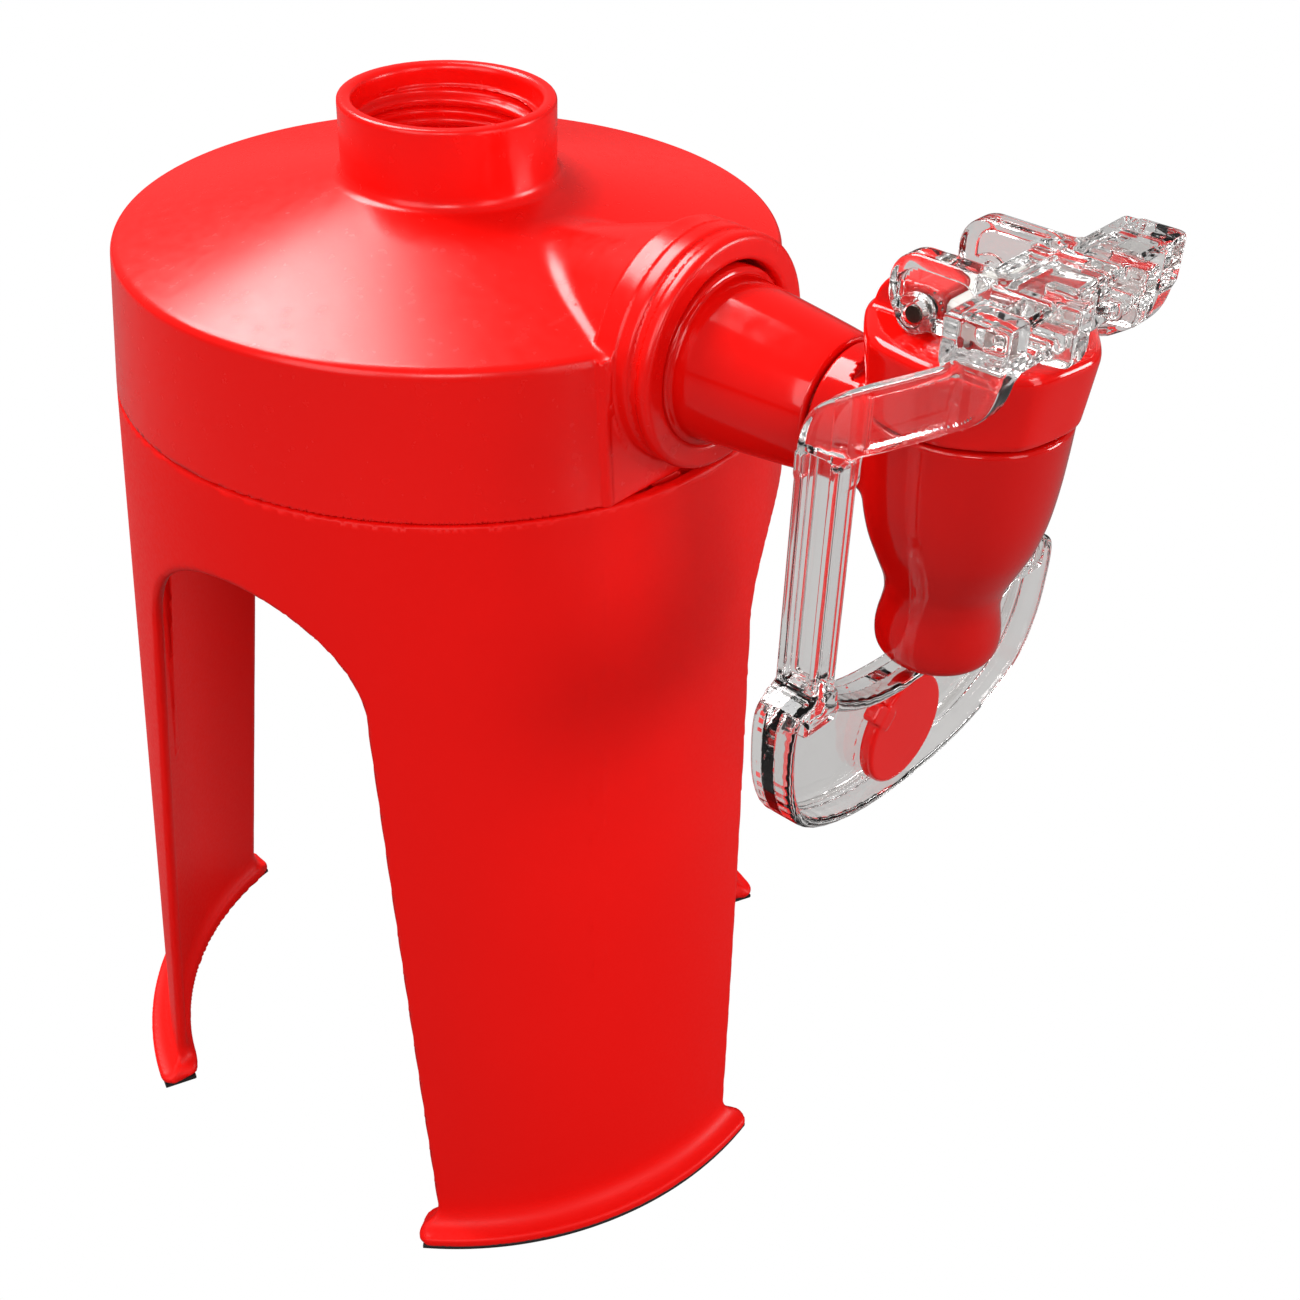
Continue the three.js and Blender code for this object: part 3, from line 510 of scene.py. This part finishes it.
def boss_ring(x, y, z):
    """The ring round the outlet, with a fine groove behind its front edge."""
    rho = np.sqrt(y * y + (z - RING_Z) ** 2)
    ring = blend_cut(rho - RING_R, span(x, RING_BACK, RING_FRONT), 1.2)
    groove = np.maximum(span(x, GROOVE_BACK, GROOVE_FRONT), RING_R - GROOVE_DEPTH - rho)
    return cut(ring, groove, 0.8)


def head_hollow(x, y, z):
    """The room under the roof and inside the fairing."""
    inner_side, inner_roof = head_cone(np.sqrt(x * x + y * y), z, WALL)
    under_roof = np.maximum(np.maximum(inner_side, inner_roof + 0.4), flat_face(x, z) + 3.2)
    swell = np.maximum(fairing(x, y, z, WALL), span(x, 8, RING_FLOOR - 3.2))
    return blend_in(under_roof, swell, 0.5)


def screw_posts(x, y, z, body):
    """Adds the three posts that the head screws go up into."""
    for leg in LEGS:
        along, across = turn(x, y, leg)
        post = np.sqrt((along - SCREW_OUT) ** 2 + across**2)
        body = blend_in(body, np.maximum(post - POST_R, span(z, POST_LOW, POST_TOP)), 0.8)
        body = np.maximum(body, -np.maximum(post - SCREW_HOLE_R, z - POST_HOLE_TOP))
    return body


def head_field(x, y, z):
    """The skirt, cone, boss, fairing, ring and threaded neck, hollow below."""
    r = np.sqrt(x * x + y * y)
    side, roof = head_cone(r, z, 0)
    body = blend_cut(side, roof, 1.3)
    body = blend_cut(body, SEAM_Z - z, 0.3)
    body = blend_cut(body, flat_face(x, z), 0.6)
    body = blend_in(body, boss_block(x, y, z, roof), 0.5)
    swell = np.maximum(fairing(x, y, z, 0), span(x, FAIRING_BACK, FAIRING_FRONT))
    body = blend_in(blend_in(body, swell, 1.8), boss_ring(x, y, z), 0.5)
    neck = np.maximum(blend_cut(r - NECK_R, z - NECK_TOP, 0.8), NECK_LOW - z)
    body = blend_in(body, neck, 1.6)
    body = cut(body, head_hollow(x, y, z), 0.3)
    body = blend_in(body, np.maximum(r - SLEEVE_R, span(z, SLEEVE_LOW, SLEEVE_TOP)), 0.8)
    body = screw_posts(x, y, z, body)
    body = cut(body, np.maximum(r - NECK_BORE, 165 - z), 1.2)
    tube_r = np.sqrt(y * y + (z - OUTLET_Z) ** 2)
    body = np.maximum(body, -np.maximum(tube_r - DUCT_ROOM_R, span(x, DUCT_ROOM_BACK, DUCT_ROOM_FRONT)))
    recess = np.maximum(np.sqrt(y * y + (z - RING_Z) ** 2) - RING_RECESS, RING_FLOOR - x)
    body = cut(body, recess, 1.0)
    return blend_in(body, thread(x, y, z, r), 0.4)


# ---- outlet tube ----
def tube_profile():
    """(radius, x) round the section: the tapered outside, the rounded tip, the bore and the spigot."""
    spigot = [(6.0, 39.3), (8.9, 39.3), (8.9, 52.3)]
    flange = [(13.0, 52.3), (13.3, 52.6), (13.3, 55.8), (13.1, 56.1), (12.6, 56.2), (12.3, 56.4)]
    taper = [(12.25, 56.7), (12.1, 58.0), (11.5, 63.5), (10.75, 70.5), (10.2, 75.0), (9.9, 76.4)]
    tip = [(9.7, 76.7), (9.4, 76.8), (7.7, 76.8)]
    bore = [(7.7, 66), (6.0, 66)]
    return spigot + flange + smooth_curve(taper, 5) + tip + bore


# ---- tap ----
# (height, radius) up the outside of the spout: lip, bulb, waist and bell.
SPOUT = smooth_curve([
    (134.3, 6.3), (134.7, 7.2), (135.3, 7.85), (136.4, 8.5), (138.2, 8.75), (140.0, 8.6), (141.6, 8.3),
    (143.6, 8.05), (145.4, 8.2), (147.3, 8.7), (150.5, 10.1), (154.0, 11.5), (158.2, 12.5), (163.2, 13.1),
    (168.0, 13.4), (173.0, 13.6),
], 8)
SPOUT_Z, SPOUT_R = np.array(SPOUT).T
SPOUT_LOW, SPOUT_TOP = 134.7, 172.8
TAP_COLLAR_R, TAP_COLLAR_LOW, TAP_COLLAR_TOP = 12.4, 165, 180.3
INLET_R, INLET_X, INLET_BORE_R = 9.4, 77.1, 5.2
CAP_ROOM_R, CAP_ROOM_Z = 15.7, 172.9
SPIGOT_R, SPIGOT_BACK, SPIGOT_FRONT = 7.3, 67.5, 82
MOUTH_R, MOUTH_TOP = 4.2, 150
# (radius, bottom, top) of the bores above the mouth: below the seat, above it and through it.
TAP_BORES = [(8.0, 151, 157.5), (8.6, 160, 190), (5.0, 140, 170)]


def tap_body_field(x, y, z):
    """The spout, the collar that the cap sits on and the inlet with its spigot, all bored out."""
    dx = x - TAP_X
    r = np.sqrt(dx * dx + y * y)
    outside = (r - np.interp(z, SPOUT_Z, SPOUT_R)) * 0.93
    body = blend_cut(outside, span(z, SPOUT_LOW, SPOUT_TOP), 0.8)
    collar = np.maximum(r - TAP_COLLAR_R, span(z, TAP_COLLAR_LOW, TAP_COLLAR_TOP))
    rho = np.sqrt(y * y + (z - OUTLET_Z) ** 2)
    inlet = blend_cut(rho - INLET_R, INLET_X - x, 0.8)
    cap_room = np.minimum(CAP_ROOM_R - r, z - CAP_ROOM_Z)
    inlet = np.maximum(np.maximum(inlet, x - 96), cap_room)
    body = blend_in(np.minimum(body, collar), inlet, 1.6)
    spigot = np.maximum(rho - SPIGOT_R, span(x, SPIGOT_BACK, SPIGOT_FRONT))
    body = np.minimum(body, spigot)
    body = cut(body, np.maximum(r - MOUTH_R, z - MOUTH_TOP), 0.9)
    for bore_r, low, top in TAP_BORES:
        body = np.maximum(body, -np.maximum(r - bore_r, span(z, low, top)))
    return np.maximum(body, -np.maximum(rho - INLET_BORE_R, span(x, 60, 90)))


# Heights and radii up the cap's corners.
CAP_Z = np.array([173.2, 174.2, 175.4, 182.6, 190.0])
CAP_R = np.array([13.75, 14.3, 14.45, 15.2, 15.9])
CAP_LOW, CAP_TOP = 173.2, 184.2
CAP_TURN, CAP_SIDES = -9.5, 8
LUG = (83.0, 93.9, 170.0, 189.4)         # x from, x to, z from, z to
LUG_FRONT = (89, 93.9, 183, 189.4)
LUG_HALF, LUG_LOW = 5.2, 183.0
CAP_BORE_R, CAP_BORE_TOP = 12.8, 181.4
GLAND_R, GLAND_LOW, GLAND_TOP, GLAND_ROOM_R, GLAND_ROOM_TOP = 6.0, 178.6, 182, 3.8, 180.8
STEM_HOLE_R = 2.4


def tap_cap_field(x, y, z):
    """The eight-sided cap with the hinge lug at its back and the stem's gland inside."""
    dx = x - TAP_X
    r = np.sqrt(dx * dx + y * y)
    body = (r - np.interp(z, CAP_Z, CAP_R)) * 0.99
    flat = 13.3 + 1.2 * (z - 172.2) / 8.8
    for i in range(CAP_SIDES):
        along, across = turn(dx, y, CAP_TURN + 360 / CAP_SIDES * i)
        body = blend_cut(body, along - flat, 0.7)
    body = blend_cut(body, z - CAP_TOP, 2.0)
    body = blend_cut(body, CAP_LOW - z, 0.5)
    lug = blend_cut(rounded_rect(x, z, *LUG, 5.2), span(y, -LUG_HALF, LUG_HALF), 0.9)
    lug = np.maximum(lug, LUG_LOW - z)
    back, front, low, top = LUG_FRONT
    squared = blend_cut(span(x, back, front), span(z, low, top), 0.9)
    squared = blend_cut(squared, span(y, -LUG_HALF, LUG_HALF), 0.9)
    body = blend_in(body, np.minimum(lug, squared), 1.0)
    body = np.maximum(body, -np.maximum(r - CAP_BORE_R, z - CAP_BORE_TOP))
    gland = np.maximum(r - GLAND_R, span(z, GLAND_LOW, GLAND_TOP))
    body = np.minimum(body, gland)
    body = np.maximum(body, -(r - STEM_HOLE_R))
    body = np.maximum(body, -np.maximum(r - GLAND_ROOM_R, z - GLAND_ROOM_TOP))
    hole = np.sqrt((x - PIVOT_X) ** 2 + (z - PIVOT_Z) ** 2) - PIN_HOLE_R
    return cut(body, hole, 0.5)


# ---- lever ----
# Each rectangle is x from, x to, z from, z to, unless its comment says otherwise.
ARM_IN, ARM_OUT = 23.5, 28.0
ARM_BACK, ARM_FRONT, ARM_LOW, ARM_TOP = 89.0, 95.8, 137, 174
ARM_MID, ARM_HALF = 92.4, 3.4
CHANNEL = (ARM_BACK + 1.5, ARM_FRONT - 1.5, 141, 174.6)
CHANNEL_OUTER, CHANNEL_INNER = 1.3, 1.2  # depths
BEND_X, BAR_END_X, BAR_HALF = 94.0, 105.0, 20.6
PLATE_HALF, HOLLOW_DEPTH, HOLLOW_RIM, HOLLOW_BACK, HOLLOW_TOP = 2.0, 0.75, 1.25, 97.5, 188.6
BAR = (102.3, 111.2, 187.7, 194.6)
BAR_SLOT, BAR_SLOT_BACK = (3.0, 15.5, 189.8, 193.2), 106.5     # the slot in width and height
PRONG = (87.6, 113.8, 185.1, 194.6)
PRONG_FRONT = (100, 113.8, 190.0, 194.6)
PRONG_DISH, DISH_FROM = (89.4, 100.0, 186.9, 192.8), 8.5
PRONG_IN, PRONG_OUT = 5.8, 9.6
RISE_FROM, RISE_SLOPE = 97.4, 0.105      # the prong's underside rises, to clear the cap when pressed
PIN_BOSS_R, PIN_REACH = 2.5, 12
WEB, WEB_HALF = (98.4, 103.3, 190.35, 193.6), 6.8
NOSE_X, NOSE_Z, NOSE_R, NOSE_HALF = 100.6, 190.35, 1.6, 4
STEP = (ARM_IN - 0.8, ARM_OUT + 1.6, 134.5, 139.6)             # in width and height
PADDLE_RIM, PADDLE_FACE, PADDLE_BACK, STUD_HOLE_R = 1.6, 92.6, 90.6, 2.2
# (x, z) round a side plate: up the arm, along the sloping strip to its round end, and back.
SIDE_UNDER = [
    (95.8, 171), (95.8, 173.6), (96.3, 175.0), (98.9, 176.3), (101.9, 177.8), (104.3, 179.1),
    (106.6, 180.6), (108.6, 182.2), (110.0, 184.1), (110.8, 186.5), (111.15, 189.5), (111.2, 193.0),
]
SIDE_OVER = [
    (105.3, 189.4), (104.4, 188.3), (102.3, 187.2), (99.2, 185.7), (96, 184.2), (93.2, 182.6),
    (91.0, 180.7), (89.6, 178.2), (89, 175.2), (89, 171),
]
# (y, z) along the right half of the half-moon paddle, from the bottom round the tip to the top.
HALF_MOON = [
    (0, 111), (12, 111.9), (22, 114.8), (28.3, 119), (31.4, 125), (32.4, 131), (32.4, 136.4),
    (31.0, 138.9), (28.0, 139.7), (24.4, 139.0), (21, 136.2), (14, 133.0), (6, 131.5),
]
DISC_Y, DISC_Z, DISC_R, DISC_GAP = -2.7, 121.1, 8.7, 0.3
DISC_BACK, DISC_FRONT, STUD_R, STUD_BACK, STUD_FRONT = 92.95, 95.2, 1.9, 89.4, 94
DISC_TAB, DISC_TAB_BACK, DISC_TAB_FRONT = (6.0, 11.3, -1.5, 1.5), 93.2, 95.3
DISC_TAB_TURN = 139                      # the tab's direction from the disc's centre, in degrees


def half_moon_outline():
    """The closed outline of the paddle in y and z."""
    left = [(-u, v) for u, v in reversed(HALF_MOON[1:])]
    return smooth_curve(HALF_MOON + [(0, 131.1)] + left, 3, closed=True)


def side_outline():
    """The closed outline of a side plate in x and z."""
    return smooth_curve(SIDE_UNDER, 3) + [(111.2, 194.6), (105.3, 194.6)] + smooth_curve(SIDE_OVER, 3)


def arm_field(x, w, z):
    """An upright arm and its side plate, with a groove down the arm's outer and inner face."""
    arm = rounded_rect(x, w, ARM_BACK, ARM_FRONT, ARM_IN, ARM_OUT, 0.7)
    arm = blend_in(np.maximum(arm, span(z, ARM_LOW, ARM_TOP)), side_plate(x, w, z), 0.6)
    channel = rounded_rect(x, z, *CHANNEL, 0.8)
    outer = np.maximum(channel, ARM_OUT - CHANNEL_OUTER - w)
    inner = np.maximum(channel, w - ARM_IN - CHANNEL_INNER)
    return cut(arm, np.minimum(outer, inner), 0.5)


def side_plate(x, w, z):
    """The plate that goes on from the arm, slopes up and inwards, and ends at the bar's end."""
    inwards = np.clip((x - BEND_X) / (BAR_END_X - BEND_X), 0, 1)
    outer = ARM_OUT - (ARM_OUT - BAR_HALF) * inwards
    outline = polygon(x, z, side_outline())
    plate = blend_cut(outline, (np.abs(w - outer + PLATE_HALF) - PLATE_HALF) * 0.85, 0.8)
    deep = HOLLOW_DEPTH * np.clip((106 - x) / 5, 0, 1)
    hollow = np.maximum(np.maximum(outline + HOLLOW_RIM, outer - deep - w), HOLLOW_BACK - x)
    return cut(plate, np.maximum(hollow, z - HOLLOW_TOP), 0.5)


def crossbar_field(x, w, z):
    """The bar over the cap that the thumb presses, hollowed in front and notched underneath."""
    bar = blend_cut(rounded_rect(x, z, *BAR, 1.0), w - BAR_HALF, 0.9)
    slot = np.maximum(rounded_rect(w, z, *BAR_SLOT, 0.8), BAR_SLOT_BACK - x)
    bar = cut(bar, slot, 0.5)
    for i in range(5):
        across = np.sqrt((w - (9.6 + 2.1 * i)) ** 2 + (z - 187.2) ** 2) - 1.15
        bar = cut(bar, np.maximum(across, span(x, 103.2, 110.4)), 0.3)
    for i in range(3):
        along = np.sqrt((x - (104.4 + 2.3 * i)) ** 2 + (z - 187.3) ** 2) - 1.0
        bar = cut(bar, np.maximum(along, span(w, 8.8, 19.2)), 0.3)
    return bar


def prong_field(x, w, z):
    """One of the two prongs that hold the pin, dished round the pin's boss."""
    outline = np.minimum(rounded_rect(x, z, *PRONG, 4.2), rounded_rect(x, z, *PRONG_FRONT, 0.6))
    underside = PRONG[2] + RISE_SLOPE * np.maximum(x - RISE_FROM, 0)
    outline = blend_cut(outline, underside - z, 0.5)
    width = span(w, PRONG_IN, PRONG_OUT)
    prong = blend_cut(outline, width, 0.9)
    prong = cut(prong, np.maximum(rounded_rect(x, z, *PRONG_DISH, 2.4), DISH_FROM - w), 0.5)
    boss = np.maximum(np.sqrt((x - PIVOT_X) ** 2 + (z - PIVOT_Z) ** 2) - PIN_BOSS_R, width)
    return blend_in(prong, boss, 0.5)


def web_field(x, w, z):
    """The web between the prongs, with the nose that presses the stem."""
    web = blend_cut(rounded_rect(x, z, *WEB, 0.8), w - WEB_HALF, 0.5)
    nose = np.maximum(np.sqrt((x - NOSE_X) ** 2 + (z - NOSE_Z) ** 2) - NOSE_R, w - NOSE_HALF)
    return blend_in(web, nose, 0.5)


def paddle_field(x, y, z):
    """The dished half-moon with its rim, a step at each arm and the seat of the disc."""
    w = np.abs(y)
    outline = polygon(y, z, half_moon_outline())
    moon = blend_cut(outline, np.abs(x - ARM_MID) - ARM_HALF, 1.0)
    moon = cut(moon, np.maximum(outline + PADDLE_RIM, PADDLE_FACE - x), 0.7)
    moon = cut(moon, np.maximum(outline + PADDLE_RIM, x - PADDLE_BACK), 0.7)
    step = rounded_rect(w, z, *STEP, 0.8)
    moon = blend_in(moon, blend_cut(step, np.abs(x - ARM_MID) - ARM_HALF - 0.2, 0.8), 0.6)
    from_centre = np.sqrt((y - DISC_Y) ** 2 + (z - DISC_Z) ** 2)
    moon = cut(moon, np.maximum(from_centre - DISC_R - DISC_GAP, PADDLE_FACE - x), 0.3)
    return np.maximum(moon, STUD_HOLE_R - from_centre)


def lever_field(x, y, z):
    """The whole stirrup: arms, paddle, bar, prongs and web, with the pin's hole."""
    w = np.abs(y)
    body = blend_in(arm_field(x, w, z), paddle_field(x, y, z), 1.0)
    body = blend_in(body, crossbar_field(x, w, z), 0.8)
    body = blend_in(body, prong_field(x, w, z), 0.8)
    body = blend_in(body, web_field(x, w, z), 0.8)
    pin = np.sqrt((x - PIVOT_X) ** 2 + (z - PIVOT_Z) ** 2) - PIN_HOLE_R
    return cut(body, np.maximum(pin, w - PIN_REACH), 0.4)


def disc_field(x, y, z):
    """The red disc: a flat face with a soft edge, a stud behind and a small tab at its upper edge."""
    u, v = y - DISC_Y, z - DISC_Z
    from_centre = np.sqrt(u * u + v * v)
    disc = blend_cut(from_centre - DISC_R, span(x, DISC_BACK, DISC_FRONT), 0.8)
    stud = blend_cut(from_centre - STUD_R, span(x, STUD_BACK, STUD_FRONT), 0.4)
    along, across = turn(u, v, DISC_TAB_TURN)
    outline = rounded_rect(along, across, *DISC_TAB, 0.8)
    tab = blend_cut(outline, span(x, DISC_TAB_BACK, DISC_TAB_FRONT), 0.5)
    return blend_in(np.minimum(disc, stud), tab, 0.5)


def build_pieces():
    """The visible shapes. A field has a box, by two corners in millimetres, and a grid step."""
    stand = field_piece("stand_shell", stand_field, (-68, -68, -1), (68, 68, 154), 0.8)
    finish_piece(stand, SATIN, "dispenser", "red_satin", "stand")
    head = field_piece("head_cover", head_field, (-56, -56, 145), (60, 56, 192), 0.5)
    finish_piece(head, GLOSS, "dispenser", "red_gloss", "head_shell")
    tube = lathe_piece("tapered_tube", tube_profile(), 160, OUTLET_Z)
    finish_piece(tube, TAP, "dispenser", "tap_red", "outlet_tube")
    # The spout takes the darkened tap red, a painted shade for its dark reflections.
    body = field_piece("spout", tap_body_field, (66, -15, 132), (112, 15, 182), 0.45)
    finish_piece(body, SHADED_TAP, "dispenser", "tap_red", "tap_body")
    cap = field_piece("tap_top", tap_cap_field, (79, -17, 169), (113, 17, 191), 0.4)
    finish_piece(cap, TAP, "dispenser", "tap_red", "tap_cap")
    lever = field_piece("stirrup", lever_field, (85, -35, 109), (116, 35, 197), 0.35)
    finish_piece(lever, CLEAR, "lever", "clear", "lever")
    disc = field_piece("button_disc", disc_field, (88, -15, 111), (97, 8, 131), 0.3)
    finish_piece(disc, TAP, "lever", "red_gloss", "lever_disc")


PAD_IN, PAD_OUT, PAD_THICK, PAD_BEVEL, PAD_HALF = 59.8, 65.9, 0.9, 0.15, 30.4


def foot_pad(number, azimuth):
    """A thin black strip under one foot, with bevelled edges; its black also stands in for the contact
    shadow along the foot, a painted shadow.
    """
    low, high, bevel = PAD_IN, PAD_OUT, PAD_BEVEL
    lower = [(low, bevel), (low + bevel, 0.0), (high - bevel, 0.0), (high, bevel)]
    shoulder = PAD_THICK - bevel
    upper = [(high, shoulder), (high - bevel, PAD_THICK), (low + bevel, PAD_THICK), (low, shoulder)]
    section = lower + upper
    steps = 48
    angles = np.radians(azimuth + np.linspace(-PAD_HALF, PAD_HALF, steps))
    points = [(r * math.cos(a), r * math.sin(a), z) for a in angles for r, z in section]
    n = len(section)
    faces = [[i * n + j, (i + 1) * n + j, (i + 1) * n + (j + 1) % n, i * n + (j + 1) % n]
             for i in range(steps - 1) for j in range(n)]
    for start, order in ((0, 1), ((steps - 1) * n, -1)):
        for a, b, c, d in ((0, 1, 2, 3), (0, 3, 4, 7), (4, 5, 6, 7)):
            faces.append([start + k for k in (a, b, c, d)[::order]])
    pad = make_mesh(f"foot_shadow_strip_{number}", np.array(points), faces)
    pad.data.shade_flat()
    finish_piece(pad, RUBBER_AND_SHADOW, "dispenser", "rubber", f"foot_pad_{number}")


def dress_cad_nodes():
    """The hidden pieces keep their CAD shape and get their finishes."""
    finishes = {
        "drink_duct": SATIN, "chamber_plug": SATIN,
        "pivot_pin": DARK_STEEL, "valve_spring": STEEL, "valve_stem": WHITE,
        "neck_gasket": SILICONE, "plug_seal": SILICONE, "tube_gasket": SILICONE, "inlet_seal": SILICONE,
        "cap_gasket": SILICONE, "stem_seal": SILICONE, "valve_seal": SILICONE,
        "head_screw_1": STEEL, "head_screw_2": STEEL, "head_screw_3": STEEL,
    }
    for node, material in finishes.items():
        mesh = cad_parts[node].data
        mesh.materials.clear()
        mesh.materials.append(material)
        mesh.polygons.foreach_set("material_index", [0] * len(mesh.polygons))


# ---- stage, light and camera ----
VIEW_TURN = math.radians(40)             # from the camera's own compass to the design frame
CAMERA_PLACE = (199.9, -185.6, 280.3)
CAMERA_DOWN, CAMERA_ROLL = math.radians(35.335), math.radians(2.236)
CAMERA_LENS, SENSOR_WIDTH = 50.21, 36.0
SEEN_THROUGH = 0.66                      # white surroundings as seen through the clear lever
ROOM_LIGHT = 0.2                         # soft light from all round
TABLE_GREY = (0.13, 0.13, 0.13)
TABLE_HALF = 6.0                         # metres


def white_level(tree):
    """How white the surroundings look: full to the camera, dimmer through clear plastic, else none."""
    path = tree.nodes.new("ShaderNodeLightPath")
    through = ranged(tree, path.outputs["Transmission Depth"], 0, 1, 0, SEEN_THROUGH)
    level = tree.nodes.new("ShaderNodeMath")
    level.operation = "MAXIMUM"
    tree.links.new(path.outputs["Is Camera Ray"], level.inputs[0])
    tree.links.new(through, level.inputs[1])
    return level.outputs["Value"]


def at_least(tree, value, least):
    """The larger of a value and a number."""
    node = tree.nodes.new("ShaderNodeMath")
    node.operation = "MAXIMUM"
    tree.links.new(value, node.inputs[0])
    node.inputs[1].default_value = least
    return node.outputs["Value"]


def make_world():
    """White all round to the camera, and a soft even light."""
    world = bpy.data.worlds.new("studio")
    world.use_nodes = True
    bpy.context.scene.world = world
    tree = world.node_tree
    back = tree.nodes["Background"]
    back.inputs["Color"].default_value = (1, 1, 1, 1)
    tree.links.new(at_least(tree, white_level(tree), ROOM_LIGHT), back.inputs["Strength"])


def table_material():
    """A pale table that looks evenly white, and that lights the object as a light grey one."""
    material, tree, shader = new_material("white_table")
    shader.inputs["Base Color"].default_value = (*TABLE_GREY, 1)
    shader.inputs["Roughness"].default_value = 0.9
    glow = tree.nodes.new("ShaderNodeEmission")
    glow.inputs["Color"].default_value = (1, 1, 1, 1)
    level = white_level(tree)
    tree.links.new(level, glow.inputs["Strength"])
    mix = tree.nodes.new("ShaderNodeMixShader")
    tree.links.new(ranged(tree, level, 0, SEEN_THROUGH, 0, 1), mix.inputs["Fac"])
    tree.links.new(shader.outputs["BSDF"], mix.inputs[1])
    tree.links.new(glow.outputs["Emission"], mix.inputs[2])
    tree.links.new(mix.outputs["Shader"], tree.nodes["Material Output"].inputs["Surface"])
    return material


def make_table():
    """A plain floor, which isn't part of the object."""
    half = TABLE_HALF
    mesh = bpy.data.meshes.new("floor")
    corners = [(-half, -half, 0), (half, -half, 0), (half, half, 0), (-half, half, 0)]
    mesh.from_pydata(corners, [], [(0, 1, 2, 3)])
    mesh.materials.append(table_material())
    table = bpy.data.objects.new("floor", mesh)
    bpy.context.scene.collection.objects.link(table)


def from_view(x, y, z):
    """A point in metres about the bottle's axis, with x to the camera's right and y away from it."""
    c, s = math.cos(VIEW_TURN), math.sin(VIEW_TURN)
    return Vector((c * x - s * y + AXIS_X, s * x + c * y + AXIS_Y, z))


def area_light(name, place, target, size, power):
    """A soft box that faces its target; places are for from_view, sizes in metres, power in watts."""
    data = bpy.data.lights.new(name, "AREA")
    data.shape = "RECTANGLE"
    data.size, data.size_y = size
    data.energy = power
    light = bpy.data.objects.new(name, data)
    bpy.context.scene.collection.objects.link(light)
    light.location = from_view(*place)
    light.rotation_mode = "QUATERNION"
    light.rotation_quaternion = (from_view(*target) - light.location).to_track_quat("-Z", "Y")


def make_lights():
    """Five soft boxes: one overhead, three in front and a low one at the right."""
    area_light("overhead_box", (-0.45, 0.35, 0.95), (-0.02, 0, 0.15), (0.66, 0.5), 15.0)
    area_light("front_left_box", (-0.7, -1.0, 0.75), (0, 0, 0.1), (0.8, 0.9), 6.6)
    area_light("front_right_box", (0.9, -0.8, 0.5), (0.03, 0, 0.12), (0.35, 0.9), 3.2)
    area_light("front_fill", (0.05, -1.1, 0.8), (-0.02, 0, 0.09), (0.4, 0.4), 4.2)
    area_light("right_low_box", (1.0, -0.02, 0.26), (-0.05, 0, 0.07), (0.3, 0.3), 4.4)


def make_camera():
    """The photograph's view: turned, tipped down and rolled a little."""
    data = bpy.data.cameras.new("photo_view")
    data.lens = CAMERA_LENS
    data.sensor_width = SENSOR_WIDTH
    data.clip_start, data.clip_end = 0.01, 50
    camera = bpy.data.objects.new("photo_view", data)
    bpy.context.scene.collection.objects.link(camera)
    forward = Vector((0, math.cos(CAMERA_DOWN), -math.sin(CAMERA_DOWN)))
    right = Vector((1, 0, 0))
    up = right.cross(forward)
    c, s = math.cos(CAMERA_ROLL), math.sin(CAMERA_ROLL)
    turned = Matrix.Rotation(VIEW_TURN, 3, "Z")
    columns = [turned @ (c * right + s * up), turned @ (c * up - s * right), turned @ -forward]
    rotation = Matrix(columns).transposed()
    place = Vector(CAMERA_PLACE) * MM + Vector((AXIS_X, AXIS_Y, 0))
    camera.matrix_world = Matrix.Translation(place) @ rotation.to_4x4()
    bpy.context.scene.camera = camera


build_pieces()
for number, azimuth in enumerate(LEGS, 1):
    foot_pad(number, azimuth)
dress_cad_nodes()
make_world()
make_table()
make_lights()
make_camera()
bpy.context.scene.view_settings.view_transform = "Standard"
